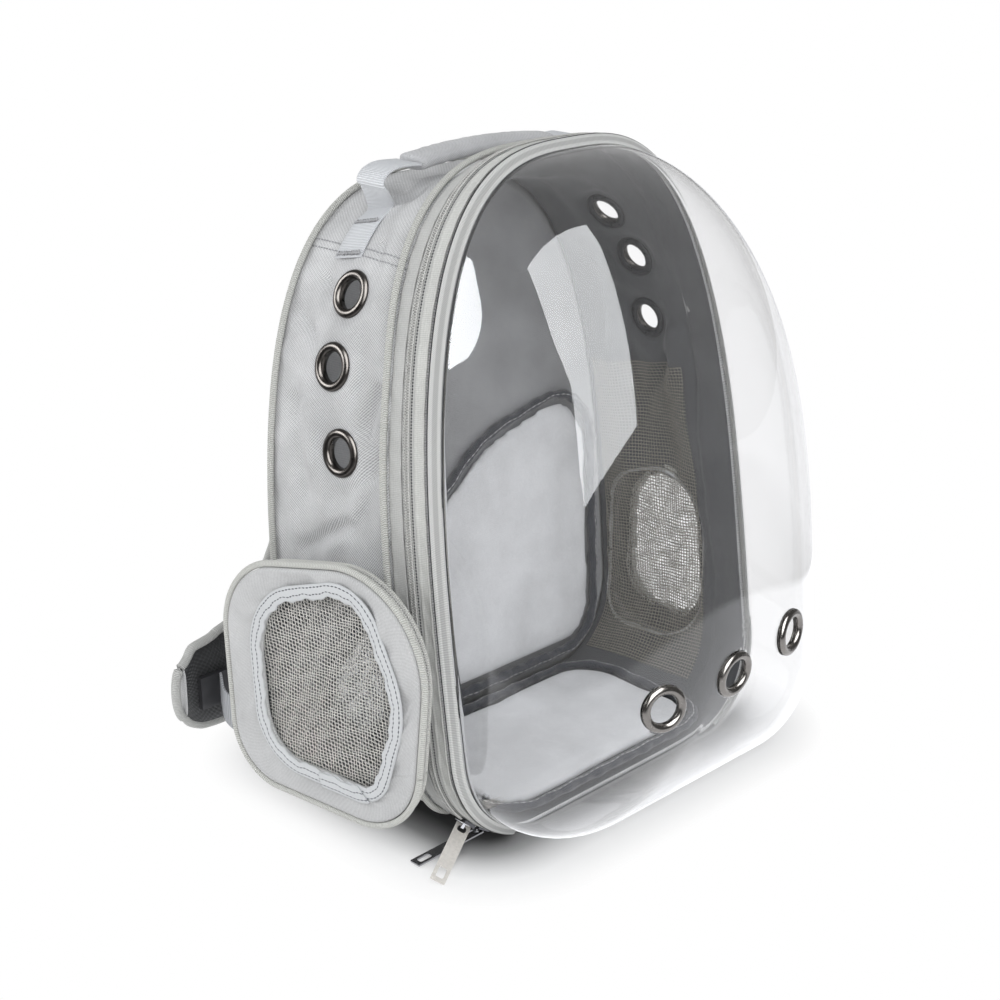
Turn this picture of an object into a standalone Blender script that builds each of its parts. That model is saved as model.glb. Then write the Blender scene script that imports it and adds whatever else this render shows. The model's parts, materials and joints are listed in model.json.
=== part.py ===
"""A soft pet carrier backpack standing on its base, with a clear domed door.

The body is one padded band of cloth (the gusset) that runs round a D-shaped outline, open at
the front, where the clear dome closes it, and shut at the back by a padded panel. Cloth bands
are sewn over its front edge: the rim binding, the zipper and its strips, and a cord piping. A
net-windowed pocket (the pod) stands out from the left side and lies folded flat on the right, a carry handle lies over the top, two
shoulder straps hang behind, and nickel eyelets let air through the walls and the dome.
Metres, +Z up, -Y is the side of the dome, and -X is the side that the pull tabs lie on.
"""

import math

import bmesh
import bpy
import numpy as np
from mathutils import Matrix, Vector

# Overall sizes
FRONT_OUTLINE = dict(half_width=0.151, height=0.433, spring=0.082, corner=0.069)
BACK_OUTLINE = dict(half_width=0.159, height=0.398, spring=0.082, corner=0.065)
DOOR_OUTLINE = dict(half_width=0.144, height=0.420, spring=0.075, corner=0.062)
ARCH_POWER = 2.92
BODY_DEPTH = 0.1585
FRONT_LEAN = 0.135
BACK_LEAN = 0.0813
RIM_RISE = 0.007
RIM_SETBACK = 0.004
MIDDLE_Y = 0.07424
RING_SIDES = 48
OUTLINE_LENGTH = 1.25
GAP = 0.0003

# Cloth of the walls
WALL_THICK = 0.003
WALL_BULGE = 0.004
BAND_THICK = 0.0015
BINDING_THICK = 0.002
BAND_RECESS = 0.0023
SEAM_MARGIN = 0.030
WALL_STARTS = 0.004
WALL_STEPS = (0.062, 0.090, 0.112)
PIPING_RADIUS = 0.0022
PIPING_AT = 0.0333
BAND_FIRST = 4
PIPING_FIRST = 5

# Folds and dents of the wall: where they are along the outline and back from the rim
FOLDS = (
    # share of outline, back from rim, reach along, reach across, depth
    dict(share=0.500, back=0.086, along=0.110, across=0.050, depth=0.0140),
    dict(share=0.662, back=0.040, along=0.050, across=0.020, depth=0.0030),
    dict(share=0.720, back=0.060, along=0.035, across=0.018, depth=0.0030),
    dict(share=0.700, back=0.130, along=0.050, across=0.016, depth=0.0040),
    dict(share=0.338, back=0.040, along=0.050, across=0.020, depth=0.0030),
    dict(share=0.290, back=0.120, along=0.045, across=0.016, depth=0.0035),
)

# Bands sewn over the front edge of the wall, by their distance back from the rim
BANDS = (
    dict(name="door_strip", start=0.0022, end=0.0100, color=(0.60, 0.60, 0.58)),
    dict(name="main_zipper", start=0.0103, end=0.0200, color=(0.52, 0.52, 0.50)),
    dict(name="front_gusset_strip", start=0.0203, end=0.0308, color=(0.60, 0.60, 0.58)),
)

# The clear dome
DOME_DEPTH = 0.126
DOME_DEPTH_GAIN = 0.22
DOME_MIDDLE = 0.160
DOME_THICK = 0.0015
DOME_POWER_LOW = 2.45
DOME_POWER_HIGH = 1.95
DOME_TURNS = (0.0, 0.13, 0.28, 0.44, 0.60, 0.77, 0.92)

# Eyelets: outside radius of the flange, radius of the barrel and of the hole
EYELET_FLANGE = 0.0155
EYELET_BARREL = 0.0106
EYELET_HOLE = 0.0096
EYELET_SIDES = 12
EYELET_RISE = 0.0018
EYELET_BEVEL = 0.003
EYELET_CUT_REACH = 0.012
EYELET_SEAT = 0.0001
WALL_EYELETS = (
    dict(side="left", number=1, share=0.622, back=0.075),
    dict(side="left", number=2, share=0.658, back=0.081),
    dict(side="left", number=3, share=0.700, back=0.072),
    dict(side="right", number=1, share=0.395, back=0.074),
    dict(side="right", number=2, share=0.363, back=0.067),
    dict(side="right", number=3, share=0.325, back=0.071),
)
DOME_EYELETS = (
    dict(name="dome_eyelet_left", share=0.8525, turn=0.718),
    dict(name="dome_eyelet_middle", share=0.9584, turn=0.885),
    dict(name="dome_eyelet_right", share=0.1471, turn=0.832),
)

# Pods: corners of each outline, looking at the side, as distance from the door plane, height, radius
POD_SIDES = 32
POD_WALL = 0.0025
POD_FACE = dict(
    left=(
        dict(back=0.018, up=0.026, radius=0.052),
        dict(back=0.172, up=0.023, radius=0.036),
        dict(back=0.179, up=0.168, radius=0.056),
        dict(back=0.000, up=0.209, radius=0.060),
    ),
    right=(
        dict(back=0.052, up=0.022, radius=0.038),
        dict(back=0.160, up=0.022, radius=0.034),
        dict(back=0.160, up=0.160, radius=0.042),
        dict(back=0.072, up=0.190, radius=0.045),
    ),
)
POD_FOOT = (
    dict(back=0.062, up=0.032, radius=0.038),
    dict(back=0.158, up=0.032, radius=0.024),
    dict(back=0.158, up=0.148, radius=0.032),
    dict(back=0.062, up=0.180, radius=0.045),
)
POD_WINDOW = dict(
    left=(
        dict(back=0.046, up=0.050, radius=0.020),
        dict(back=0.140, up=0.048, radius=0.030),
        dict(back=0.147, up=0.151, radius=0.048),
        dict(back=0.058, up=0.182, radius=0.026),
        dict(back=0.026, up=0.115, radius=0.055),
    ),
    right=(
        dict(back=0.070, up=0.046, radius=0.026),
        dict(back=0.146, up=0.046, radius=0.028),
        dict(back=0.146, up=0.144, radius=0.036),
        dict(back=0.084, up=0.164, radius=0.034),
    ),
)
POD_FACE_X = dict(left=0.180, right=0.1645)
POD_FACE_TURN = dict(left=0.09, right=0.06)
# Rings of the pod's wall: share of the way from wall to face, and from foot outline to face outline
POD_RINGS = (
    dict(out=0.06, spread=0.0),
    dict(out=0.32, spread=0.50),
    dict(out=0.56, spread=0.93),
    dict(out=0.93, spread=0.99),
)
POD_ZIPPER_SHARES = (0.22, 0.62)
# The two rings that the zipper lies between, and where its strip starts and ends between them
POD_ZIPPER_RINGS = dict(left=(2, 3), right=(1, 2))
POD_ZIPPER_LOW = 0.10
POD_ZIPPER_HIGH = 0.68
WINDOW_TAPE = 0.009
NET_THICK = 0.0012
POD_CUTTER_ENDS = (0.115, 0.171)
INNER_NET_X = 0.1550
INNER_NET_TURN = 0.03
INNER_NET_FRONT = 0.062

# Inside
PANEL_THICK = 0.006
PANEL_GAP = 0.0004
PAD_THICK = 0.008
EDGING_RADIUS = 0.0035
EDGING_GAP = 0.0012
BACK_PAD = (
    dict(back=-0.128, up=0.024, radius=0.030),
    dict(back=0.128, up=0.024, radius=0.030),
    dict(back=0.134, up=0.224, radius=0.035),
    dict(back=0.024, up=0.200, radius=0.100),
    dict(back=-0.128, up=0.074, radius=0.025),
)
FLOOR_PAD_UP = 0.0098
FLOOR_PAD = (
    dict(back=-0.100, up=0.014, radius=0.030),
    dict(back=0.100, up=0.014, radius=0.030),
    dict(back=0.104, up=0.134, radius=0.030),
    dict(back=-0.104, up=0.134, radius=0.030),
)

# Handle
HANDLE_Y = 0.140
GRIP_HALF = 0.062
GRIP_HALF_WIDTH = 0.0125
GRIP_HALF_HEIGHT = 0.0052
GRIP_MIDDLE = 0.4185
GRIP_DROP = 0.0040
GRIP_SIDES = 10
WEB_WIDTH = 0.025
WEB_THICK = 0.0016
# The free loop of the handle's webbing, from the grip's end: across, up
HANDLE_LOOP = (
    dict(across=0.0624, up=0.4142),
    dict(across=0.0800, up=0.4150),
    dict(across=0.0905, up=0.4118),
    dict(across=0.0940, up=0.4066),
    dict(across=0.0905, up=0.4022),
)
HANDLE_SEWN_SHARES = dict(left=(0.4300, 0.4190, 0.4080, 0.3970), right=(0.4300, 0.4225, 0.4150))
WEB_LIFT = 0.0010
HANDLE_SEWN_BACK = 0.088

# Shoulder straps: middle line across, back and up, with the strap's width
STRAP_THICK = 0.009
STRAP_LINE = (
    dict(across=0.044, back=0.1936, up=0.372, width=0.046),
    dict(across=0.045, back=0.1970, up=0.352, width=0.050),
    dict(across=0.050, back=0.209, up=0.300, width=0.062),
    dict(across=0.060, back=0.222, up=0.230, width=0.066),
    dict(across=0.071, back=0.230, up=0.165, width=0.068),
    dict(across=0.088, back=0.237, up=0.110, width=0.069),
    dict(across=0.117, back=0.241, up=0.070, width=0.070),
    dict(across=0.150, back=0.242, up=0.055, width=0.070),
    dict(across=0.178, back=0.241, up=0.053, width=0.062),
    dict(across=0.190, back=0.240, up=0.053, width=0.040),
)
LOWER_WEB = (
    dict(across=0.1650, back=0.2314, up=0.050),
    dict(across=0.1700, back=0.2180, up=0.041),
    dict(across=0.1620, back=0.1960, up=0.032),
    dict(across=0.1450, back=0.1760, up=0.029),
    dict(across=0.1260, back=0.1634, up=0.030),
)
ADJUSTER_SIZE = (0.030, 0.0036, 0.024)
ADJUSTER_AT = dict(across=0.165, back=0.2340, up=0.050)

# Sliders and pull tabs: each slider's place along the outline, and where its tab's tip lies
SLIDER_BACK = 0.0152
SLIDER_SIZE = (0.0105, 0.0094, 0.0022)
CROWN_HALF = 0.0034
CROWN_THICK = 0.0009
CROWN_WIDTH = 0.0018
CROWN_HEIGHT = 0.0032
PIN_HEIGHT = 0.00115
TAB_WIDTH = 0.0100
TAB_THICK = 0.0010
TAB_BAR = 0.0013
TAB_EYE = 0.0058
TAB_EYE_HALF = 0.0030
TAB_EYE_ROUND = 0.0018
TAB_SLOT = 0.0090
TAB_SLOT_END = 0.0032
TAB_SLOT_HALF = 0.0026
TAB_SLOT_ROUND = 0.0012
SLIDERS = (
    dict(name="front", share=0.8940, lift=0.0002, tip=(-0.1755, 0.0004, 0.0029)),
    dict(name="rear", share=0.9050, lift=-0.0006, tip=(-0.1700, 0.0270, 0.0016)),
)

CREAM = (0.58, 0.58, 0.55)
CLOTH = (0.56, 0.56, 0.58)
DARK = (0.05, 0.055, 0.065)
WEBBING = (0.62, 0.64, 0.68)


def clear_scene():
    """Remove every object that the scene holds."""
    for obj in list(bpy.data.objects):
        bpy.data.objects.remove(obj, do_unlink=True)


def material(name, color, roughness=0.85, metallic=0.0, alpha=1.0):
    """A Principled material with one colour."""
    made = bpy.data.materials.new(name)
    made.use_nodes = True
    shader = made.node_tree.nodes["Principled BSDF"]
    shader.inputs["Base Color"].default_value = (*color, 1.0)
    shader.inputs["Roughness"].default_value = roughness
    shader.inputs["Metallic"].default_value = metallic
    shader.inputs["Alpha"].default_value = alpha
    made.diffuse_color = (*color, alpha)
    return made


def add_object(name, mesh, look, smooth=True):
    """Link a mesh as a named object with its material."""
    obj = bpy.data.objects.new(name, mesh)
    bpy.context.scene.collection.objects.link(obj)
    if look is not None:
        mesh.materials.append(look)
    if smooth:
        mesh.shade_smooth()
        mesh.set_sharp_from_angle(angle=math.radians(40.0))
    return obj


def loft(name, sections, look, closed=False, smooth=True):
    """One solid through a row of closed sections, each with the same number of points."""
    mesh = bpy.data.meshes.new(name)
    work = bmesh.new()
    rings = [[work.verts.new(point) for point in section] for section in sections]
    pairs = list(zip(rings, rings[1:]))
    if closed:
        pairs.append((rings[-1], rings[0]))
    for first, second in pairs:
        for index in range(len(first)):
            after = (index + 1) % len(first)
            work.faces.new((first[index], first[after], second[after], second[index]))
    if not closed:
        work.faces.new(rings[0])
        work.faces.new(rings[-1])
    bmesh.ops.recalc_face_normals(work, faces=work.faces)
    work.to_mesh(mesh)
    work.free()
    return add_object(name, mesh, look, smooth)


def resample(points, count, closed=True):
    """The points of a polyline read again at even steps of its length."""
    line = np.vstack([points, points[:1]]) if closed else np.asarray(points)
    steps = np.linalg.norm(np.diff(line, axis=0), axis=1)
    travelled = np.concatenate([[0.0], np.cumsum(steps)])
    wanted = np.linspace(0.0, travelled[-1], count, endpoint=not closed)
    return np.stack([np.interp(wanted, travelled, column) for column in line.T], axis=1)


def arch_outline(shares, half_width, height, spring, corner):
    """Across and up of a D outline at shares of its length, from the middle of its base, right first."""
    turn = np.linspace(0.0, math.pi / 2, 40)
    base = np.array([[0.0, 0.0]])
    round_x = half_width - corner + corner * np.sin(turn)
    round_z = corner - corner * np.cos(turn)
    arch_x = half_width * np.cos(turn) ** (2 / ARCH_POWER)
    arch_z = spring + (height - spring) * np.sin(turn) ** (2 / ARCH_POWER)
    right = np.vstack([base, np.stack([round_x, round_z], 1), np.stack([arch_x, arch_z], 1)])
    left = right[::-1] * [-1.0, 1.0]
    line = np.vstack([right, left[1:]])
    steps = np.linalg.norm(np.diff(line, axis=0), axis=1)
    travelled = np.concatenate([[0.0], np.cumsum(steps)])
    wanted = np.mod(shares, 1.0) * travelled[-1]
    return np.interp(wanted, travelled, line[:, 0]), np.interp(wanted, travelled, line[:, 1])


def front_edge(shares):
    """The outer edge of the rim, which leans back as it rises."""
    across, up = arch_outline(shares, **FRONT_OUTLINE)
    return np.stack([across, FRONT_LEAN * up + RIM_SETBACK - MIDDLE_Y, up], axis=-1)


def back_edge(shares):
    """The edge where the wall meets the back panel."""
    across, up = arch_outline(shares, **BACK_OUTLINE)
    return np.stack([across, BODY_DEPTH + BACK_LEAN * up - MIDDLE_Y, up], axis=-1)


def door_edge(shares):
    """The edge of the dome, inside the rim binding."""
    across, up = arch_outline(shares, **DOOR_OUTLINE)
    return np.stack([across, FRONT_LEAN * up - MIDDLE_Y, up + RIM_RISE], axis=-1)


def wall_base(shares, back):
    """A point of the plain wall, a distance back from the rim."""
    front = front_edge(shares)
    span = back_edge(shares) - front
    return front + span * (back / np.linalg.norm(span, axis=-1))[..., None]


def wall_normal(shares, back):
    """The outward direction of the plain wall."""
    step = 0.004
    along = wall_base(shares + step, back) - wall_base(shares - step, back)
    across = wall_base(shares, back + step) - wall_base(shares, back - step)
    normal = np.cross(across, along)
    return normal / np.linalg.norm(normal, axis=-1, keepdims=True)


def wall_shape(shares, back):
    """How far the padding swells out of the plain wall, less its folds and dents."""
    span = np.linalg.norm(back_edge(shares) - front_edge(shares), axis=-1)
    height = wall_base(shares, back)[..., 2]
    above_base = 1.0 - np.exp(-((height / 0.05) ** 2))
    swell = WALL_BULGE * np.sin(math.pi * np.clip(back / span, 0.0, 1.0)) * above_base
    held = np.clip((span - back) / SEAM_MARGIN, 0.0, 1.0) * np.clip(back / SEAM_MARGIN, 0.0, 1.0)
    for fold in FOLDS:
        along = (shares - fold["share"]) * OUTLINE_LENGTH / fold["along"]
        across = (back - fold["back"]) / fold["across"]
        swell = swell - fold["depth"] * held * np.exp(-(along**2) - across**2)
    return swell


def wall_point(shares, back, lift=0.0):
    """A point on the padded wall, lifted outwards."""
    shares, back = np.broadcast_arrays(np.asarray(shares, float), np.asarray(back, float))
    out = wall_shape(shares, back) + lift
    return wall_base(shares, back) + wall_normal(shares, back) * out[..., None]


def make_gusset(look):
    """The padded wall, with its front edge set down for the bands sewn over it."""
    span = np.linalg.norm(back_edge(0.5) - front_edge(0.5))
    recess_end = BANDS[-1]["end"]
    outside = [
        (WALL_STARTS, -BAND_RECESS),
        (recess_end + GAP, -BAND_RECESS),
        (recess_end + 2 * GAP, 0.0),
    ]
    outside += [(step, 0.0) for step in WALL_STEPS + (1.0,)]
    sections = []
    for index in range(RING_SIDES):
        share = index / RING_SIDES
        depth = np.linalg.norm(back_edge(share) - front_edge(share))
        scale = depth / span
        outer = []
        inner = []
        for back, lift in outside:
            place = depth if back == 1.0 else back
            if recess_end + 0.01 < place < depth:
                place = place * scale
            outer.append(wall_point(share, place, lift))
            inner.append(wall_point(share, place, -WALL_THICK - BAND_RECESS))
        sections.append(outer + inner[::-1])
    return loft("gusset", sections, look, closed=True)


def make_band(row, look):
    """One cloth band along the rim, from the bottom corner over the top to the other corner."""
    sections = []
    for index in range(BAND_FIRST, RING_SIDES - BAND_FIRST + 1):
        share = index / RING_SIDES
        low = -BAND_RECESS + 2 * GAP
        high = low + BAND_THICK
        corners = ((row["start"], low), (row["end"], low), (row["end"], high), (row["start"], high))
        sections.append([wall_point(share, back, lift) for back, lift in corners])
    return loft(row["name"], sections, look)


def make_rim_binding(look):
    """The woven binding that slopes from the dome's edge to the wall."""
    thick = BINDING_THICK
    sections = []
    for index in range(BAND_FIRST, RING_SIDES - BAND_FIRST + 1):
        share = index / RING_SIDES
        inside = door_edge(share)
        outside = front_edge(share)
        slope = outside - inside
        slope = slope / np.linalg.norm(slope)
        along = door_edge(share + 0.004) - door_edge(share - 0.004)
        out = np.cross(slope, along)
        out = out / np.linalg.norm(out)
        sections.append([inside, outside, outside - out * thick, inside - out * thick])
    return loft("rim_binding", sections, look)


def tube(name, centres, radius, sides, look, closed=False, side="right"):
    """A round cord along a line of points, which the left side takes mirrored."""
    centres = np.asarray(centres)
    sections = []
    count = len(centres)
    for index in range(count):
        if closed:
            ahead = centres[(index + 1) % count] - centres[index - 1]
        else:
            ahead = centres[min(index + 1, count - 1)] - centres[max(index - 1, 0)]
        ahead = ahead / np.linalg.norm(ahead)
        guide = np.array([0.0, 1.0, 0.0]) if abs(ahead[1]) < 0.8 else np.array([1.0, 0.0, 0.0])
        first = np.cross(ahead, guide)
        first = first / np.linalg.norm(first)
        second = np.cross(ahead, first)
        turns = 2 * math.pi * np.arange(sides)[:, None] / sides
        ring = centres[index] + radius * (np.cos(turns) * first + np.sin(turns) * second)
        sections.append(mirrored(ring, side))
    return loft(name, sections, look, closed)


def make_pipings(look):
    """The cord pipings along the front bands and along the back edge."""
    lift = PIPING_RADIUS + GAP
    shares = [index / RING_SIDES for index in range(PIPING_FIRST, RING_SIDES - PIPING_FIRST + 1)]
    front = [wall_point(share, PIPING_AT, lift) for share in shares]
    tube("front_piping", front, PIPING_RADIUS, 5, look)
    back = []
    for share in shares:
        depth = np.linalg.norm(back_edge(share) - front_edge(share))
        back.append(wall_point(share, depth - PIPING_RADIUS, lift))
    tube("back_piping", back, PIPING_RADIUS, 5, look)


def dome_point(share, turn, thick=0.0):
    """A point of the dome, at a turn from its edge (0) towards its middle (1)."""
    edge = door_edge(share)
    inwards = 1.0 - (GAP + thick) / DOOR_OUTLINE["half_width"]
    power = DOME_POWER_LOW + (DOME_POWER_HIGH - DOME_POWER_LOW) * edge[2] / FRONT_OUTLINE["height"]
    angle = turn * math.pi / 2
    across = edge[0] * math.cos(angle) ** (2 / power) * inwards
    up = DOME_MIDDLE + (edge[2] - DOME_MIDDLE) * math.cos(angle) ** (2 / power) * inwards
    depth = DOME_DEPTH * (1.0 + DOME_DEPTH_GAIN * (up - 0.217) / 0.21) - thick
    rim_y = FRONT_LEAN * (up - RIM_RISE) - MIDDLE_Y - GAP
    return np.array([across, rim_y - depth * math.sin(angle) ** (2 / power), up])


def dome_frame(share, turn):
    """Place and outward direction of a point of the dome."""
    step = 0.01
    here = dome_point(share, turn)
    along = dome_point(share + step, turn) - dome_point(share - step, turn)
    inwards = dome_point(share, turn + step) - dome_point(share, turn - step)
    normal = np.cross(along, inwards)
    return here, normal / np.linalg.norm(normal)


def make_dome(look):
    """The clear shell, rounded from its edge to its middle."""
    shares = [index / RING_SIDES for index in range(RING_SIDES)]
    outside = [[dome_point(share, turn) for share in shares] for turn in DOME_TURNS]
    inside = []
    for turn in DOME_TURNS:
        ring = []
        for share in shares:
            point = dome_point(share, turn, DOME_THICK)
            if turn == 0.0:
                point[1] = dome_point(share, turn)[1]
            ring.append(point)
        inside.append(ring)
    return loft("dome", outside[::-1] + inside, look)


def stand(place, normal):
    """The matrix that puts local +Z along a direction at a place."""
    turn = Vector(normal).to_track_quat("Z", "Y")
    return Matrix.Translation(Vector(place)) @ turn.to_matrix().to_4x4()


def lathe(name, profile, sides, look):
    """A closed ring turned about local Z from its radius and height pairs."""
    sections = []
    for side in range(sides):
        turn = 2 * math.pi * side / sides
        sections.append([(r * math.cos(turn), r * math.sin(turn), z) for r, z in profile])
    return loft(name, sections, look, closed=True)


def cut_for_eyelet(target, name, matrix, thick):
    """Cut the barrel's hole through a wall, and a seat for the flange on its outside."""
    sections = []
    for radius, height in (
        (EYELET_BARREL + GAP, -thick - EYELET_CUT_REACH),
        (EYELET_BARREL + GAP, EYELET_SEAT),
        (EYELET_FLANGE + GAP, EYELET_SEAT),
        (EYELET_FLANGE + GAP, EYELET_CUT_REACH),
    ):
        turns = [2 * math.pi * side / EYELET_SIDES for side in range(EYELET_SIDES)]
        sections.append([(radius * math.cos(t), radius * math.sin(t), height) for t in turns])
    cutter = loft(name + "_cutter", sections, None, smooth=False)
    hidden_tool(cutter).matrix_world = matrix
    join_or_cut(target, cutter, "DIFFERENCE")


def make_eyelet(name, matrix, thick, look):
    """A flanged nickel ring whose barrel goes through the wall."""
    profile = (
        (EYELET_HOLE, -thick),
        (EYELET_BARREL, -thick),
        (EYELET_BARREL, 2 * GAP),
        (EYELET_FLANGE, 2 * GAP),
        (EYELET_FLANGE - EYELET_BEVEL, EYELET_RISE),
        (EYELET_HOLE, EYELET_RISE),
    )
    ring = lathe(name, profile, EYELET_SIDES, look)
    ring.matrix_world = matrix
    return ring


def make_eyelets(gusset, dome, look):
    """All the eyelets, three in each side wall and three in the dome."""
    for row in WALL_EYELETS:
        name = "side_eyelet_%s_%d" % (row["side"], row["number"])
        place = wall_point(row["share"], row["back"])
        matrix = stand(place, wall_normal(row["share"], row["back"]))
        cut_for_eyelet(gusset, name, matrix, WALL_THICK + BAND_RECESS)
        make_eyelet(name, matrix, WALL_THICK + BAND_RECESS, look)
    for row in DOME_EYELETS:
        place, normal = dome_frame(row["share"], row["turn"])
        matrix = stand(place, normal)
        cut_for_eyelet(dome, row["name"], matrix, DOME_THICK)
        make_eyelet(row["name"], matrix, DOME_THICK + 0.001, look)


def rounded_outline(corners, count, grow=0.0):
    """An outline through corners with round arcs, as pairs of distance back and height."""
    places = [np.array([c["back"], c["up"]]) for c in corners]
    points = []
    for index, corner in enumerate(corners):
        here = places[index]
        before = places[index - 1] - here
        after = places[(index + 1) % len(places)] - here
        before = before / np.linalg.norm(before)
        after = after / np.linalg.norm(after)
        half = math.acos(float(np.clip(before @ after, -1.0, 1.0))) / 2
        inwards = (before + after) / np.linalg.norm(before + after)
        centre = here + inwards * corner["radius"] / math.sin(half)
        start = here + before * corner["radius"] / math.tan(half) - centre
        sweep = math.pi - 2 * half
        for step in range(9):
            turn = sweep * step / 8
            rotated = np.array(
                [
                    start[0] * math.cos(turn) - start[1] * math.sin(turn),
                    start[0] * math.sin(turn) + start[1] * math.cos(turn),
                ]
            )
            points.append(centre + rotated * (1.0 + grow / corner["radius"]))
    return resample(np.array(points), count)


def wall_x_at(back, up):
    """Half width of the plain wall's outside at a distance from the door plane and a height."""
    shares = np.linspace(0.02, 0.48, 240)
    front = front_edge(shares)
    rear = back_edge(shares)
    part = (back - MIDDLE_Y - front[:, 1]) / (rear[:, 1] - front[:, 1])
    line = front + (rear - front) * part[:, None]
    swell = WALL_BULGE * np.sin(math.pi * np.clip(part, 0.0, 1.0))
    return float(np.interp(up, line[:, 2], line[:, 0] + swell))


def face_x_at(back, side):
    """Half width at the pod's flat face, which turns out a little towards the back."""
    return POD_FACE_X[side] + POD_FACE_TURN[side] * back


def pod_ring(out, spread, side, inset=0.0):
    """One ring of a side's pod wall, before it is mirrored to that side."""
    foot = rounded_outline(POD_FOOT, POD_SIDES, -inset)
    face = rounded_outline(POD_FACE[side], POD_SIDES, -inset)
    line = foot + (face - foot) * spread
    ring = []
    for (back, up), (foot_back, foot_up) in zip(line, foot):
        wall = wall_x_at(foot_back, foot_up)
        ring.append((wall + (face_x_at(back, side) - wall) * out, back - MIDDLE_Y, up))
    return np.array(ring)


def face_ring(outline, grow, lift, side, count=POD_SIDES):
    """A ring on the plane of a side's pod face, before it is mirrored to that side."""
    line = rounded_outline(outline[side], count, grow)
    return np.array([(face_x_at(back, side) + lift, back - MIDDLE_Y, up) for back, up in line])


def foot_ring(inset, x_of):
    """A ring of the pod's foot, where it passes through the wall."""
    line = rounded_outline(POD_FOOT, POD_SIDES, -inset)
    return np.array([(x_of(back, up), back - MIDDLE_Y, up) for back, up in line])


def mirrored(points, side):
    """The same points on the asked side."""
    flip = -1.0 if side == "left" else 1.0
    return np.asarray(points) * [flip, 1.0, 1.0]


def make_pod(side, gusset, looks):
    """One side pocket: shell, piping, window tape, net, zipper, and the net inside the wall."""

    def inner_end(back, up):
        return wall_x_at(back, up) - WALL_THICK - BAND_RECESS

    outside = [foot_ring(0.0, inner_end)]
    outside += [pod_ring(row["out"], row["spread"], side) for row in POD_RINGS]
    outside += [face_ring(POD_FACE, -0.002, 0.0, side)]
    outside += [face_ring(POD_WINDOW, 0.0, 0.0, side)]
    inside = [face_ring(POD_WINDOW, 0.0, -POD_WALL, side)]
    inside += [face_ring(POD_FACE, -0.006, -POD_WALL, side)]
    inside += [pod_ring(row["out"], row["spread"], side, POD_WALL) for row in POD_RINGS[-2::-1]]
    inside += [foot_ring(POD_WALL, inner_end)]
    shell = [mirrored(ring, side) for ring in outside + inside]
    loft("pod_shell_" + side, shell, looks["cloth"], closed=True)

    cutter_ends = [foot_ring(-2 * GAP, lambda back, up: x) for x in POD_CUTTER_ENDS]
    cutter = loft("pod_cutter_" + side, [mirrored(r, side) for r in cutter_ends], None, smooth=False)
    join_or_cut(gusset, hidden_tool(cutter), "DIFFERENCE")

    cord = face_ring(POD_FACE, PIPING_RADIUS + GAP, -PIPING_RADIUS, side)
    tube("pod_piping_" + side, cord, PIPING_RADIUS, 5, looks["piping"], True, side)

    tape = []
    for grow, lift in ((-0.001, GAP), (WINDOW_TAPE, GAP), (WINDOW_TAPE, 0.0015), (-0.001, 0.0015)):
        tape.append(mirrored(face_ring(POD_WINDOW, grow, lift, side), side))
    loft("window_tape_" + side, tape, looks["webbing"], closed=True)

    depth = -POD_WALL - GAP
    net = [face_ring(POD_WINDOW, 0.004, lift, side) for lift in (depth, depth - NET_THICK)]
    loft("pod_net_" + side, [mirrored(r, side) for r in net], looks["net"])

    rows = [POD_RINGS[index] for index in POD_ZIPPER_RINGS[side]]
    rings = [pod_ring(row["out"], row["spread"], side) for row in rows]
    first = round(POD_ZIPPER_SHARES[0] * POD_SIDES)
    last = round(POD_ZIPPER_SHARES[1] * POD_SIDES)
    sections = []
    for index in range(first, last + 1):
        spot = (index + POD_SIDES // 2) % POD_SIDES
        low, high = rings[0][spot], rings[1][spot]
        span = high - low
        before, after = rings[0][spot - 1], rings[0][(spot + 1) % POD_SIDES]
        out = np.cross(after - before, span)
        out = out / np.linalg.norm(out)
        corners = []
        for part, lift in (
            (POD_ZIPPER_LOW, 0.0008),
            (POD_ZIPPER_HIGH, 0.0008),
            (POD_ZIPPER_HIGH, 0.0020),
            (POD_ZIPPER_LOW, 0.0020),
        ):
            corners.append(low + span * part + out * lift)
        sections.append(mirrored(corners, side))
    loft("pod_zipper_" + side, sections, looks["zipper"])

    def plate_x(back, up):
        return INNER_NET_X + INNER_NET_TURN * (back - INNER_NET_FRONT)

    near = foot_ring(POD_WALL + GAP, plate_x)
    far = near + [NET_THICK, 0.0, 0.0]
    loft("inner_net_" + side, [mirrored(near, side), mirrored(far, side)], looks["net"])


def panel_frame(across, up, out):
    """A point against the back panel, out from the back edge's plane into the cabin."""
    return np.array([across, BODY_DEPTH + BACK_LEAN * up - MIDDLE_Y - out, up])


def make_back_panel(look):
    """The panel that shuts the back of the wall, inside its rear edge."""
    inset = WALL_THICK + BAND_RECESS + PANEL_GAP
    sections = []
    for out in (0.0, PANEL_THICK):
        ring = []
        for index in range(RING_SIDES):
            share = index / RING_SIDES
            depth = np.linalg.norm(back_edge(share) - front_edge(share))
            before = WALL_STEPS[-1] * depth / np.linalg.norm(back_edge(0.5) - front_edge(0.5))
            near, rear = wall_point(share, np.array([before, depth]), -inset)
            across, _, up = rear + (near - rear) * out / (depth - before)
            ring.append(panel_frame(across, up, out))
        sections.append(ring)
    return loft("back_panel", sections, look, smooth=False)


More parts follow.
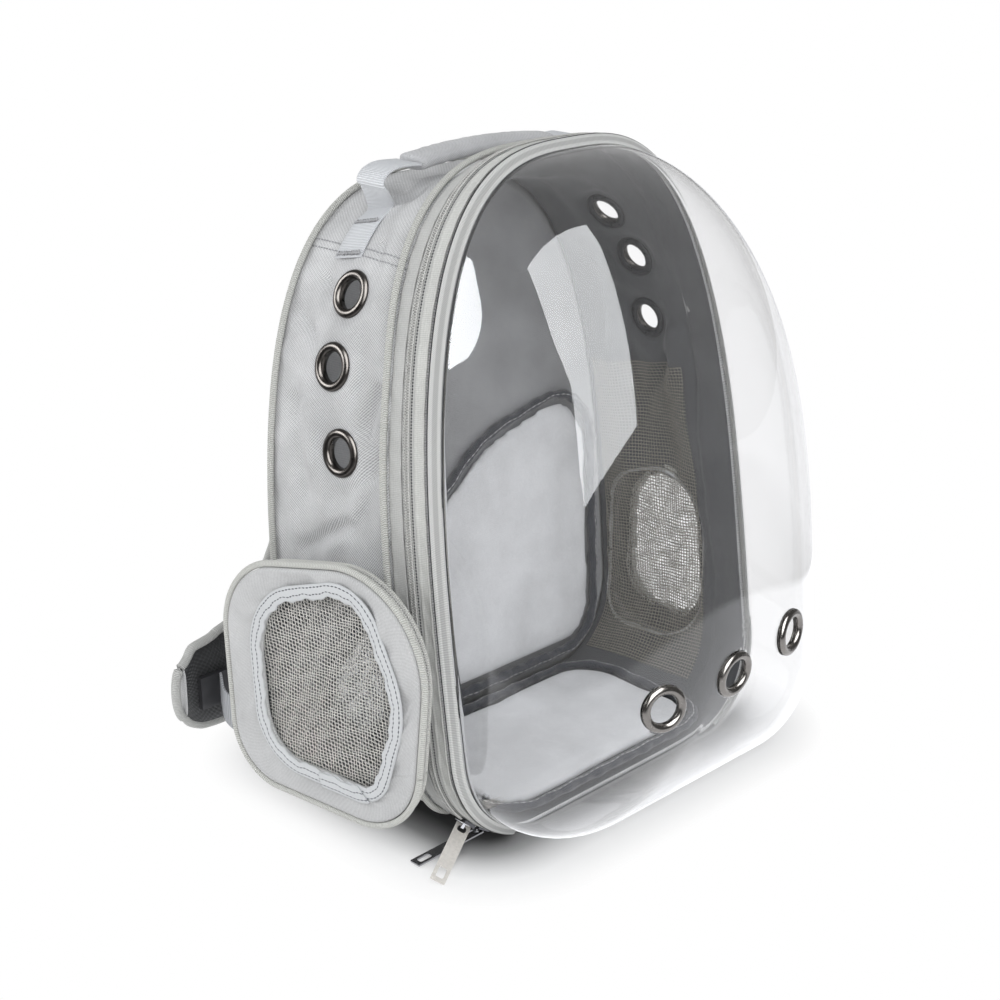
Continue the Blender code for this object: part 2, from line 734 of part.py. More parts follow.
def make_pads(pad_look, edge_look):
    """The light pad against the back and the pad on the floor, each with a dark edging."""
    line = rounded_outline(BACK_PAD, 28)
    face = PANEL_THICK + GAP
    rings = [
        [panel_frame(across, up, out) for across, up in line] for out in (face, face + PAD_THICK)
    ]
    loft("back_pad", rings, pad_look)
    edge = rounded_outline(BACK_PAD, 28, EDGING_RADIUS + EDGING_GAP)
    centres = [panel_frame(across, up, face + 0.5 * PAD_THICK) for across, up in edge]
    tube("back_pad_edging", centres, EDGING_RADIUS, 5, edge_look, closed=True)

    low = FLOOR_PAD_UP
    line = rounded_outline(FLOOR_PAD, 24)
    rings = [
        [np.array([across, back - MIDDLE_Y, height]) for across, back in line]
        for height in (low, low + PAD_THICK)
    ]
    loft("floor_pad", rings, pad_look)
    edge = rounded_outline(FLOOR_PAD, 24, EDGING_RADIUS + EDGING_GAP)
    centres = [np.array([across, back - MIDDLE_Y, low + 0.5 * PAD_THICK]) for across, back in edge]
    tube("floor_pad_edging", centres, EDGING_RADIUS, 5, edge_look, closed=True)


def ribbon(name, centres, across, width, thick, look, side="right"):
    """A flat strap along a line of points, each with the direction of its width."""
    centres = np.asarray(centres, float)
    across = np.broadcast_to(np.asarray(across, float), centres.shape)
    sections = []
    last = len(centres) - 1
    for index, centre in enumerate(centres):
        ahead = centres[min(index + 1, last)] - centres[max(index - 1, 0)]
        out = np.cross(ahead, across[index])
        out = out / np.linalg.norm(out)
        half = across[index] * width / 2
        corners = [centre - half, centre + half, centre + half + out * thick, centre - half + out * thick]
        sections.append(mirrored(corners, side))
    return loft(name, sections, look)


def make_handle(grip_look, web_look):
    """The padded grip over the top, and the webbing that holds it at each side."""
    y = HANDLE_Y - MIDDLE_Y
    turns = 2 * math.pi * np.arange(GRIP_SIDES) / GRIP_SIDES
    sections = []
    for part in np.linspace(-1.0, 1.0, 9):
        across = np.full(GRIP_SIDES, GRIP_HALF * part)
        up = GRIP_MIDDLE - GRIP_DROP * part**2 + GRIP_HALF_HEIGHT * np.sin(turns)
        sections.append(np.stack([across, y + GRIP_HALF_WIDTH * np.cos(turns), up], 1))
    loft("handle_grip", sections, grip_look)
    for side in ("left", "right"):
        line = [(row["across"], y, row["up"]) for row in HANDLE_LOOP]
        across = [(0.0, 1.0, 0.0)] * len(line)
        for share in HANDLE_SEWN_SHARES[side]:
            line.append(tuple(wall_point(share, HANDLE_SEWN_BACK, WEB_LIFT)))
            span = back_edge(share) - front_edge(share)
            across.append(tuple(span / np.linalg.norm(span)))
        ribbon("handle_webbing_" + side, line, across, WEB_WIDTH, WEB_THICK, web_look, side)


def make_straps(pad_look, web_look, buckle_look):
    """The padded shoulder straps, the webbing below them, and the plain adjusters."""
    line = np.array([(r["across"], r["back"] - MIDDLE_Y, r["up"]) for r in STRAP_LINE])
    web = np.array([(r["across"], r["back"] - MIDDLE_Y, r["up"]) for r in LOWER_WEB])
    thick = np.array([0.0, STRAP_THICK / 2, 0.0])
    for side in ("left", "right"):
        sections = []
        for index, centre in enumerate(line):
            ahead = line[min(index + 1, len(line) - 1)] - line[max(index - 1, 0)]
            ahead[1] = 0.0
            ahead = ahead / np.linalg.norm(ahead)
            wide = np.array([-ahead[2], 0.0, ahead[0]]) * STRAP_LINE[index]["width"] / 2
            corners = [centre - wide - thick, centre + wide - thick]
            corners += [centre + wide + thick, centre - wide + thick]
            sections.append(mirrored(corners, side))
        loft("shoulder_strap_" + side, sections, pad_look)
        ribbon("lower_webbing_" + side, web, (0.0, 0.0, 1.0), WEB_WIDTH, WEB_THICK, web_look, side)
        adjuster = box("strap_adjuster_" + side, ADJUSTER_SIZE, buckle_look)
        place = (ADJUSTER_AT["across"], ADJUSTER_AT["back"] - MIDDLE_Y, ADJUSTER_AT["up"])
        adjuster.location = mirrored(place, side)


def box(name, size, look):
    """A box of a size about its own middle."""
    half = [length / 2 for length in size]
    ends = []
    for z in (-half[2], half[2]):
        corners = ((-half[0], -half[1]), (half[0], -half[1]), (half[0], half[1]), (-half[0], half[1]))
        ends.append([(x, y, z) for x, y in corners])
    return loft(name, ends, look, smooth=False)


def plate(name, outline, low, high, look):
    """A flat plate from an outline of X and Y pairs, between two heights."""
    ends = [[(x, y, z) for x, y in outline] for z in (low, high)]
    return loft(name, ends, look, smooth=False)


def hidden_tool(obj):
    """Keep a cutter or a joining shape out of the part."""
    obj.hide_render = True
    obj.display_type = "WIRE"
    return obj


def join_or_cut(target, tool, operation):
    """Add or take away a hidden shape."""
    change = target.modifiers.new(tool.name, "BOOLEAN")
    change.operation = operation
    change.solver = "EXACT"
    change.object = tool


def rounded_bar(start, end, half_width, radius, steps=3):
    """The outline of a bar along X with round corners."""
    points = []
    corners = (
        (end - radius, half_width - radius, 0.0),
        (start + radius, half_width - radius, 90.0),
        (start + radius, -half_width + radius, 180.0),
        (end - radius, -half_width + radius, 270.0),
    )
    for x, y, first in corners:
        for step in range(steps + 1):
            turn = math.radians(first + 90.0 * step / steps)
            points.append((x + radius * math.cos(turn), y + radius * math.sin(turn)))
    return points


def axes_matrix(place, first, second):
    """The matrix with local +X and +Y along two directions at a place."""
    x = Vector(first).normalized()
    y = Vector(second)
    y = (y - x * y.dot(x)).normalized()
    z = x.cross(y)
    turn = Matrix((x, y, z)).transposed()
    return Matrix.Translation(Vector(place)) @ turn.to_4x4()


def make_slider(row, look):
    """A zipper slider with a crown turned towards its tab; gives the matrix of the hinge."""
    share = row["share"]
    place = Vector(wall_point(share, SLIDER_BACK, row["lift"] + SLIDER_SIZE[2] / 2))
    normal = Vector(wall_normal(share, SLIDER_BACK))
    along = Vector(front_edge(share + 0.002) - front_edge(share - 0.002))
    top = SLIDER_SIZE[2] / 2
    pin = place + normal * (top + PIN_HEIGHT)
    tip = Vector((row["tip"][0], row["tip"][1] - MIDDLE_Y, row["tip"][2]))
    axis = normal.cross(tip - pin)
    high = top + CROWN_HEIGHT
    sunk = top - 0.4 * SLIDER_SIZE[2]
    inner = CROWN_HALF - CROWN_THICK
    profile = (
        (-CROWN_HALF, sunk),
        (-inner, sunk),
        (-inner, high - CROWN_THICK),
        (inner, high - CROWN_THICK),
        (inner, sunk),
        (CROWN_HALF, sunk),
        (CROWN_HALF, high),
        (-CROWN_HALF, high),
    )
    ends = [[(x, y, z) for x, z in profile] for y in (-CROWN_WIDTH / 2, CROWN_WIDTH / 2)]
    body = box("slider_" + row["name"], SLIDER_SIZE, look)
    crown = hidden_tool(loft("crown_" + row["name"], ends, None, smooth=False))
    join_or_cut(body, crown, "UNION")
    body.matrix_world = axes_matrix(place, along, normal.cross(along))
    crown.matrix_world = axes_matrix(place, axis.cross(normal), axis)
    return axes_matrix(pin, tip - pin, axis), (tip - pin).length


def make_sliders(look):
    """Two zipper sliders at the lower corner, each with a pull tab hinged under its crown."""
    for row in SLIDERS:
        matrix, end = make_slider(row, look)
        outline = rounded_bar(-TAB_BAR / 2, end, TAB_WIDTH / 2, TAB_BAR / 2)
        tab = plate("pull_tab_" + row["name"], outline, -TAB_THICK / 2, TAB_THICK / 2, look)
        tab.matrix_world = matrix
        slot_end = end - TAB_SLOT_END
        holes = (
            ("eye", TAB_BAR / 2, TAB_BAR / 2 + TAB_EYE, TAB_EYE_HALF, TAB_EYE_ROUND),
            ("slot", slot_end - TAB_SLOT, slot_end, TAB_SLOT_HALF, TAB_SLOT_ROUND),
        )
        for name, start, stop, half, radius in holes:
            hole = rounded_bar(start, stop, half, radius)
            cutter = plate(name + "_" + row["name"], hole, -2 * TAB_THICK, 2 * TAB_THICK, None)
            hidden_tool(cutter).matrix_world = matrix
            join_or_cut(tab, cutter, "DIFFERENCE")


def build():
    clear_scene()
    cloth = material("oxford_cloth", CLOTH)
    piping = material("cord_piping", CREAM)
    webbing = material("webbing", WEBBING, 0.6)
    dark = material("dark_binding", DARK)
    net = material("net_mesh", (0.20, 0.20, 0.18))
    nickel = material("nickel", (0.62, 0.60, 0.58), 0.22, 1.0)
    lining = material("pale_pad", (0.60, 0.60, 0.62))
    grip = material("handle_padding", (0.50, 0.50, 0.50))
    clear = material("clear_shell", (0.95, 0.97, 0.98), 0.05, 0.0, 0.25)

    gusset = make_gusset(cloth)
    for row in BANDS:
        make_band(row, material(row["name"], row["color"]))
    make_rim_binding(material("rim_binding", (0.60, 0.60, 0.58)))
    make_pipings(piping)
    dome = make_dome(clear)
    make_eyelets(gusset, dome, nickel)
    looks = dict(cloth=cloth, piping=piping, webbing=webbing, net=net, zipper=dark)
    for side in ("left", "right"):
        make_pod(side, gusset, looks)
    make_back_panel(cloth)
    make_pads(lining, dark)
    make_handle(grip, webbing)
    make_straps(dark, webbing, dark)
    make_sliders(nickel)


build()
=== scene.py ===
"""A soft pet carrier backpack with a clear domed door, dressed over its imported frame.

Metres, +Z up, -Y is the side of the dome, -X the side with the pull tabs. Places on the wall are
given as a share of the D outline's length, from the middle of the base with the right side first,
and a distance back from the rim.
"""

import json
import math

import bmesh
import bpy
import numpy as np
from mathutils import Matrix, Vector

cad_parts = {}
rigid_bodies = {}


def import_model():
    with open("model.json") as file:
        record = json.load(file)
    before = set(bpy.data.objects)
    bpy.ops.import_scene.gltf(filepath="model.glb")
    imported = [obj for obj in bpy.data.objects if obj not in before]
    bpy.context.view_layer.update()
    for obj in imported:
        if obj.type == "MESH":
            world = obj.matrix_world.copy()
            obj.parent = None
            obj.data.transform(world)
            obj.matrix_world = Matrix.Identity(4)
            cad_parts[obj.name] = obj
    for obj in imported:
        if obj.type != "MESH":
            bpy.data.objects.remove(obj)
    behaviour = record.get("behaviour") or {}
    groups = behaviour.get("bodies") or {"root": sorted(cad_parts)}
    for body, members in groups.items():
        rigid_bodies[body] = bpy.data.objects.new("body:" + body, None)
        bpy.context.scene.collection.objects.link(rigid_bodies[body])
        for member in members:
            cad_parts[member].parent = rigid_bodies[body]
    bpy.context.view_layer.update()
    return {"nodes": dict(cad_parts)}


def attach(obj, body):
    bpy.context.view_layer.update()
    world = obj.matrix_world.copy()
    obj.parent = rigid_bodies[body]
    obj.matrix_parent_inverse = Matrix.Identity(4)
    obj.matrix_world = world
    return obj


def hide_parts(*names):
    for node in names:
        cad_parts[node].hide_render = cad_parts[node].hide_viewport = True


for leftover in list(bpy.data.objects):
    bpy.data.objects.remove(leftover)
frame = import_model()

# Camera: stands to the front left, a little above the bag, with the photograph's lens.
MIDDLE_Y = 0.07424
camera_data = bpy.data.cameras.new("camera")
camera_data.lens = 66.46
camera = bpy.data.objects.new("camera", camera_data)
bpy.context.scene.collection.objects.link(camera)
camera_place = Vector((-0.8421, -0.7234 - MIDDLE_Y, 0.6293))
camera_aim = Vector((-0.0810, 0.0400 - MIDDLE_Y, 0.2193))
camera.location = camera_place
camera.rotation_euler = (camera_aim - camera_place).to_track_quat("-Z", "Y").to_euler()
bpy.context.scene.camera = camera

# The padded wall: one band of light grey oxford cloth over thin foam, dark lining inside. It runs
# round the D outline and is sewn to the bands in front and the back panel behind.
OUTLINE_LENGTH = 1.25
# D outlines: half width, height, height where the arch springs, radius of the lower corners
RIM_OUTLINE = (0.151, 0.433, 0.082, 0.069)
SEAM_OUTLINE = (0.159, 0.398, 0.082, 0.065)
ARCH_POWER = 2.92
# how far the rim and the back seam lean back for each unit of height
RIM_LEAN = 0.135
SEAM_LEAN = 0.0813
SEAM_FOOT = 0.1585
RIM_FOOT = 0.004
WALL_THICK = 0.0030
WALL_SWELL = 0.004
# creases of the cloth: how much deeper than listed, and the heights of small and broad ripples
CREASE_GAIN = 3.5
PUCKER = 0.00035
RIPPLE = 0.0015
BROAD_RIPPLE = 0.0024
# the patch under the handle's webbing that stays smooth: place along and back, half sizes
SMOOTH_PATCH = (0.088, 0.088, 0.034, 0.020)
BAND_RECESS = 0.0023
BANDS_END = 0.0311
WALL_EYELETS = (
    dict(side="left", number=1, share=0.622, back=0.075),
    dict(side="left", number=2, share=0.658, back=0.081),
    dict(side="left", number=3, share=0.700, back=0.072),
    dict(side="right", number=1, share=0.395, back=0.074),
    dict(side="right", number=2, share=0.363, back=0.067),
    dict(side="right", number=3, share=0.325, back=0.071),
)
# Broad folds, as in the solid: share, back, reach along, reach across, depth
FOLDS = (
    (0.500, 0.086, 0.110, 0.050, 0.0140),
    (0.662, 0.040, 0.050, 0.020, 0.0030),
    (0.720, 0.060, 0.035, 0.018, 0.0030),
    (0.700, 0.130, 0.050, 0.016, 0.0040),
    (0.338, 0.040, 0.050, 0.020, 0.0030),
    (0.290, 0.120, 0.045, 0.016, 0.0035),
)
# Sharper creases between two places: share and back of each end, half width, depth
CREASES = (
    (0.628, 0.128, 0.650, 0.096, 0.0050, 0.0022),
    (0.640, 0.146, 0.664, 0.112, 0.0065, -0.0016),
    (0.676, 0.120, 0.722, 0.108, 0.0075, 0.0026),
    (0.690, 0.142, 0.742, 0.122, 0.0060, -0.0018),
    (0.668, 0.046, 0.704, 0.060, 0.0055, 0.0020),
    (0.690, 0.040, 0.738, 0.062, 0.0070, 0.0022),
    (0.716, 0.052, 0.748, 0.080, 0.0060, -0.0018),
    (0.736, 0.070, 0.752, 0.112, 0.0050, 0.0026),
    (0.612, 0.108, 0.628, 0.090, 0.0040, 0.0014),
    (0.596, 0.060, 0.616, 0.052, 0.0045, 0.0012),
    (0.372, 0.110, 0.350, 0.090, 0.0050, 0.0020),
    (0.330, 0.100, 0.296, 0.118, 0.0070, 0.0024),
    (0.318, 0.044, 0.284, 0.060, 0.0060, 0.0020),
    (0.300, 0.060, 0.268, 0.090, 0.0060, -0.0016),
    (0.440, 0.120, 0.470, 0.100, 0.0060, 0.0014),
    (0.540, 0.110, 0.565, 0.060, 0.0070, 0.0014),
)


def arch_outline(shares, half_width, height, spring, corner):
    """Across and up of a D outline: a flat base, quarter-circle corners and a superellipse arch."""
    turn = np.linspace(0.0, math.pi / 2, 80)
    round_x = half_width - corner + corner * np.sin(turn)
    round_z = corner - corner * np.cos(turn)
    arch_x = half_width * np.cos(turn) ** (2 / ARCH_POWER)
    arch_z = spring + (height - spring) * np.sin(turn) ** (2 / ARCH_POWER)
    right = np.vstack([[[0.0, 0.0]], np.stack([round_x, round_z], 1), np.stack([arch_x, arch_z], 1)])
    line = np.vstack([right, (right[::-1] * [-1.0, 1.0])[1:]])
    travelled = np.concatenate([[0.0], np.cumsum(np.linalg.norm(np.diff(line, axis=0), axis=1))])
    wanted = np.mod(shares, 1.0) * travelled[-1]
    return np.interp(wanted, travelled, line[:, 0]), np.interp(wanted, travelled, line[:, 1])


def front_edge(shares):
    """The outer edge of the rim: its D outline, leaning back by a fixed part of the height."""
    across, up = arch_outline(shares, *RIM_OUTLINE)
    return np.stack([across, RIM_LEAN * up + RIM_FOOT - MIDDLE_Y, up], axis=-1)


def back_edge(shares):
    """The seam of wall and back panel: its D outline, leaning back a little less than the rim."""
    across, up = arch_outline(shares, *SEAM_OUTLINE)
    return np.stack([across, SEAM_FOOT + SEAM_LEAN * up - MIDDLE_Y, up], axis=-1)


def wall_depth(shares):
    """The length of the wall from rim to back seam."""
    return np.linalg.norm(back_edge(shares) - front_edge(shares), axis=-1)


def wall_base(shares, back):
    """The plain wall: straight lines from the rim's edge to the back seam."""
    front = front_edge(shares)
    span = back_edge(shares) - front
    return front + span * (back / np.linalg.norm(span, axis=-1))[..., None]


def wall_normal(shares, back):
    """The outward direction: the cross product of the steps across and along the plain wall."""
    step = 0.004
    along = wall_base(shares + step, back) - wall_base(shares - step, back)
    across = wall_base(shares, back + step) - wall_base(shares, back - step)
    normal = np.cross(across, along)
    return normal / np.linalg.norm(normal, axis=-1, keepdims=True)


def wall_point(shares, back, lift=0.0, creased=0.0):
    """The padded wall: the plain one swollen by a half sine across it, less Gaussian folds that
    fade at both seams, less creases that fall off with the distance from a line, which stay
    clear of the floor and of the sewn webbing."""
    shares, back = np.broadcast_arrays(np.asarray(shares, float), np.asarray(back, float))
    span = wall_depth(shares)
    height = wall_base(shares, back)[..., 2]
    swell = WALL_SWELL * np.sin(math.pi * np.clip(back / span, 0, 1)) * (1 - np.exp(-((height / 0.05) ** 2)))
    held = np.clip((span - back) / 0.03, 0, 1) * np.clip(back / 0.03, 0, 1)
    for share, place, along, across, depth in FOLDS:
        away = ((shares - share) * OUTLINE_LENGTH / along) ** 2 + ((back - place) / across) ** 2
        swell = swell - depth * held * np.exp(-away)
    if np.any(creased):
        patch_share, patch_back, patch_long, patch_wide = SMOOTH_PATCH
        along = (np.abs(shares - 0.5) - patch_share) * OUTLINE_LENGTH / patch_long
        sewn = along**2 + ((back - patch_back) / patch_wide) ** 2
        creased = creased * (1 - np.exp(-(sewn**2))) * np.clip((height - 0.006) / 0.03, 0, 1)
        for share_a, back_a, share_b, back_b, half, depth in CREASES:
            way = np.array([(share_b - share_a) * OUTLINE_LENGTH, back_b - back_a])
            here = np.stack([(shares - share_a) * OUTLINE_LENGTH, back - back_a], -1)
            part = np.clip(here @ way / (way @ way), 0, 1)
            away = np.linalg.norm(here - part[..., None] * way, axis=-1)
            fall = np.exp(-((away / half) ** 2)) * (1 - 0.6 * part)
            swell = swell - CREASE_GAIN * creased * depth * held * fall
        arc = shares * OUTLINE_LENGTH
        pucker = np.sin(arc * 290 + 3 * np.sin(arc * 31)) * np.exp(-np.abs(back - BANDS_END) / 0.012)
        pucker = pucker + 1.3 * np.sin(arc * 210 + 2 * np.sin(arc * 23)) * np.exp(-(span - back) / 0.014)
        ripple = np.sin(arc * 57 + back * 90) * np.sin(back * 118 - arc * 33) * held
        broad = np.sin(arc * 21 + 1.7) * np.sin(back * 61 + arc * 9)
        broad = broad + 0.7 * np.sin(arc * 39 - back * 70 + 0.8)
        swell = swell + creased * (PUCKER * pucker + RIPPLE * ripple + BROAD_RIPPLE * broad * held)
    return wall_base(shares, back) + wall_normal(shares, back) * (swell + lift)[..., None]


def grid_faces(rows, cols, wrap_rows=False, wrap_cols=False):
    """The quads of a grid of points: each joins a point to its neighbours right and below."""
    row = np.arange(rows if wrap_rows else rows - 1)[:, None]
    col = np.arange(cols if wrap_cols else cols - 1)[None, :]
    below, right = (row + 1) % rows, (col + 1) % cols
    corners = [row * cols + col, row * cols + right, below * cols + right, below * cols + col]
    return np.stack(np.broadcast_arrays(*corners), -1).reshape(-1, 4)


def mesh_piece(name, points, faces, looks, uv=None, outwards=True, smooth=True):
    """A mesh object from arrays of points and of quads, its normals made to point outwards."""
    points = np.asarray(points, np.float32).reshape(-1, 3)
    faces = np.asarray(faces, np.int32)
    mesh = bpy.data.meshes.new(name)
    mesh.vertices.add(len(points))
    mesh.vertices.foreach_set("co", points.ravel())
    mesh.loops.add(faces.size)
    mesh.loops.foreach_set("vertex_index", faces.ravel())
    mesh.polygons.add(len(faces))
    mesh.polygons.foreach_set("loop_start", np.arange(0, faces.size, 4, dtype=np.int32))
    mesh.update(calc_edges=True)
    if uv is not None:
        layer = mesh.uv_layers.new(name="UVMap")
        layer.data.foreach_set("uv", np.asarray(uv, np.float32).reshape(-1, 2)[faces.ravel()].ravel())
    if outwards:
        work = bmesh.new()
        work.from_mesh(mesh)
        bmesh.ops.recalc_face_normals(work, faces=work.faces)
        work.to_mesh(mesh)
        work.free()
    mesh.polygons.foreach_set("use_smooth", np.full(len(faces), smooth))
    for look in looks if isinstance(looks, (list, tuple)) else [looks]:
        mesh.materials.append(look)
    obj = bpy.data.objects.new(name, mesh)
    bpy.context.scene.collection.objects.link(obj)
    return obj


def thicken(obj, thick, inside=0, levels=0):
    """Give a sheet its thickness inwards, with another material on the inside if asked."""
    solid = obj.modifiers.new("thickness", "SOLIDIFY")
    solid.thickness = thick
    solid.offset = -1.0
    solid.material_offset = inside
    if levels:
        smoother = obj.modifiers.new("smoother", "SUBSURF")
        smoother.levels = smoother.render_levels = levels
    return obj


def dress(obj, slot, *nodes, body="bag"):
    """Fix a piece to a body and let it stand for CAD nodes; the slot is not used."""
    if nodes:
        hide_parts(*nodes)
    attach(obj, body)
    return obj


def link(tree, kind, **values):
    """A node of a kind with its values set; a value that is a socket is linked."""
    node = tree.nodes.new(kind)
    for key, value in values.items():
        if hasattr(node, key) and key not in node.inputs:
            setattr(node, key, value)
            continue
        socket = node.inputs[int(key[3:])] if key.startswith("in_") else node.inputs[key.replace("_", " ")]
        if isinstance(value, bpy.types.NodeSocket):
            tree.links.new(value, socket)
        else:
            socket.default_value = value
    return node


def cloth_look(
    name, colour, pitch=0.0013, slant=0.6, groove=0.72, rough=0.86, bump=0.5, patchy=0.10, sheen=0.15
):
    """Woven cloth from its UV map in metres: two crossing sets of sine ribs at a slant make the
    weave's colour and bump, and slow noise makes it patchy."""
    look = bpy.data.materials.new(name)
    look.use_nodes = True
    tree = look.node_tree
    shader = tree.nodes["Principled BSDF"]
    uv = link(tree, "ShaderNodeUVMap")
    turned = link(tree, "ShaderNodeMapping", in_0=uv.outputs[0], in_2=(0.0, 0.0, slant))
    warp = link(
        tree, "ShaderNodeTexWave", bands_direction="X", Vector=turned.outputs[0], Scale=0.314 / pitch,
        Distortion=0.6, Detail=1.0,
    )
    weft = link(
        tree, "ShaderNodeTexWave", bands_direction="Y", Vector=turned.outputs[0],
        Scale=0.314 / (1.6 * pitch), Distortion=0.4, Detail=1.0,
    )
    ribs = link(
        tree, "ShaderNodeMath", operation="MULTIPLY_ADD", in_0=weft.outputs["Fac"], in_1=0.35,
        in_2=warp.outputs["Fac"],
    )
    place = link(tree, "ShaderNodeTexCoord")
    slow = link(tree, "ShaderNodeTexNoise", Vector=place.outputs["Object"], Scale=28.0, Detail=4.0)
    fine = link(tree, "ShaderNodeTexNoise", Vector=place.outputs["Object"], Scale=900.0, Detail=2.0)
    shade = link(
        tree, "ShaderNodeMapRange", in_0=ribs.outputs[0], in_1=0.1, in_2=1.1, in_3=groove, in_4=1.0
    )
    patch = link(
        tree, "ShaderNodeMapRange", in_0=slow.outputs["Fac"], in_1=0.3, in_2=0.7, in_3=1.0 - patchy,
        in_4=1.0 + 0.4 * patchy,
    )
    dust = link(
        tree, "ShaderNodeMapRange", in_0=fine.outputs["Fac"], in_1=0.3, in_2=0.7, in_3=0.92, in_4=1.04
    )
    both = link(tree, "ShaderNodeMath", operation="MULTIPLY", in_0=shade.outputs[0], in_1=patch.outputs[0])
    every = link(tree, "ShaderNodeMath", operation="MULTIPLY", in_0=both.outputs[0], in_1=dust.outputs[0])
    tone = link(tree, "ShaderNodeVectorMath", operation="SCALE", in_0=colour, in_3=every.outputs[0])
    tree.links.new(tone.outputs[0], shader.inputs["Base Color"])
    relief = link(
        tree, "ShaderNodeMath", operation="MULTIPLY_ADD", in_0=fine.outputs["Fac"], in_1=0.5,
        in_2=ribs.outputs[0],
    )
    height = link(tree, "ShaderNodeBump", Strength=bump, Distance=0.0003, Height=relief.outputs[0])
    tree.links.new(height.outputs[0], shader.inputs["Normal"])
    shader.inputs["Roughness"].default_value = rough
    shader.inputs["Sheen Weight"].default_value = sheen
    shader.inputs["Specular IOR Level"].default_value = 0.3
    return look


def rounded_outline(corners, count, grow=0.0):
    """A closed outline through corners (one way, other way, radius), each turned in an arc of its
    radius, read at even steps of its length; grow moves it outwards."""
    places = np.array([corner[:2] for corner in corners])
    points = []
    for index, (_, _, radius) in enumerate(corners):
        here = places[index]
        before = (places[index - 1] - here) / np.linalg.norm(places[index - 1] - here)
        after = places[(index + 1) % len(places)] - here
        after = after / np.linalg.norm(after)
        half = math.acos(float(before @ after)) / 2
        centre = here + (before + after) / np.linalg.norm(before + after) * radius / math.sin(half)
        start = here + before * radius / math.tan(half) - centre
        turn = (math.pi - 2 * half) * np.linspace(0, 1, 17)
        arc = np.stack(
            [
                start[0] * np.cos(turn) - start[1] * np.sin(turn),
                start[0] * np.sin(turn) + start[1] * np.cos(turn),
            ],
            1,
        )
        points.append(centre + arc * (1 + grow / radius))
    line = np.vstack(points)
    line = np.vstack([line, line[:1]])
    travelled = np.concatenate([[0.0], np.cumsum(np.linalg.norm(np.diff(line, axis=0), axis=1))])
    wanted = np.linspace(0, travelled[-1], count, endpoint=False)
    return np.stack([np.interp(wanted, travelled, column) for column in line.T], 1)


def stand(place, normal):
    """The matrix with local +Z along a direction at a place."""
    return Matrix.Translation(Vector(place)) @ Vector(normal).to_track_quat("Z", "Y").to_matrix().to_4x4()


# corners of the pod's foot where it is sewn to the wall: back from the door plane, up, radius
POD_FOOT = ((0.062, 0.032, 0.038), (0.158, 0.032, 0.024), (0.158, 0.148, 0.032), (0.062, 0.180, 0.045))

oxford = cloth_look(
    "oxford cloth", (0.755, 0.755, 0.76), pitch=0.00115, slant=0.85, groove=0.50, bump=0.7, patchy=0.20
)
lining = cloth_look(
    "dark lining", (0.085, 0.087, 0.092), pitch=0.0009, slant=0.4, groove=0.7, rough=0.8, bump=0.25,
    patchy=0.2, sheen=0.3,
)
WALL_ROWS, WALL_COLS = 420, 50
shares = (np.arange(WALL_ROWS) / WALL_ROWS)[:, None]
part = np.linspace(0, 1, WALL_COLS)[None, :]
back = 0.004 + part * (wall_depth(shares) - 0.004)
step = np.clip((back - BANDS_END + 0.001) / 0.002, 0, 1)
wall = wall_point(shares, back, -BAND_RECESS * (1 - step * step * (3 - 2 * step)), creased=1.0)
faces = grid_faces(WALL_ROWS, WALL_COLS, wrap_rows=True)
points = wall.reshape(-1, 3)
for row in WALL_EYELETS:
    middle = wall_point(row["share"], row["back"])
    normal = wall_normal(np.array(row["share"]), np.array(row["back"]))
    apart = points - middle
    flat = np.clip((0.026 - np.linalg.norm(apart, axis=1)) / 0.009, 0, 1)
    flat = flat * flat * (3 - 2 * flat)
    points = points - (flat * (apart @ normal))[:, None] * normal
centres = points[faces].mean(1)
keep = np.ones(len(faces), bool)
for row in WALL_EYELETS:
    middle = wall_point(row["share"], row["back"])
    normal = wall_normal(np.array(row["share"]), np.array(row["back"]))
    away = centres - middle
    away = away - (away @ normal)[:, None] * normal
    keep &= (np.linalg.norm(away, axis=1) > 0.0126) | (np.linalg.norm(centres - middle, axis=1) > 0.03)
foot = rounded_outline(POD_FOOT, 200)
sides = np.abs(centres[:, 0]) > 0.12
flat = centres[:, 1:] + [MIDDLE_Y, 0.0]
nearest = np.linalg.norm(flat[sides][:, None] - foot[None], axis=2).argmin(1)
middle = np.array([0.110, 0.100])
inner = np.linalg.norm(flat[sides] - middle, axis=1) < np.linalg.norm(foot[nearest] - middle, axis=1)
keep[np.flatnonzero(sides)[inner]] = False
used, cut = np.zeros(len(points), bool), np.zeros(len(points), bool)
used[faces[keep].ravel()] = True
cut[faces[np.flatnonzero(sides)[inner]].ravel()] = True
edge = np.flatnonzero(used & cut)
spots = points[edge][:, 1:] + [MIDDLE_Y, 0.0]
nearest = np.linalg.norm(spots[:, None] - foot[None], axis=2).argmin(1)
points[edge, 1:] = foot[nearest] - [MIDDLE_Y, 0.0]
uv = np.stack(np.broadcast_arrays(shares * OUTLINE_LENGTH, back), -1)
numbers = np.cumsum(used) - 1
wall_cloth = mesh_piece(
    "wall_cloth", points[used], numbers[faces[keep]], [
        oxford, lining
    ], uv.reshape(-1, 2)[used], outwards=False
)
thicken(wall_cloth, WALL_THICK, inside=1)
dress(wall_cloth, "oxford_cloth", "gusset")

# The back panel: the same cloth over foam, lined inside with the dark lining painted lighter as painted
# light, set into the wall's rear edge and closed with a seam that a thin twisted cord follows.
PANEL_THICK = 0.006


def panel_frame(across, up, out):
    """A point against the back panel, out from the back seam's plane into the cabin."""
    across, up, out = np.broadcast_arrays(across, up, out)
    return np.stack([across, SEAM_FOOT + SEAM_LEAN * up - MIDDLE_Y - out, up], -1)


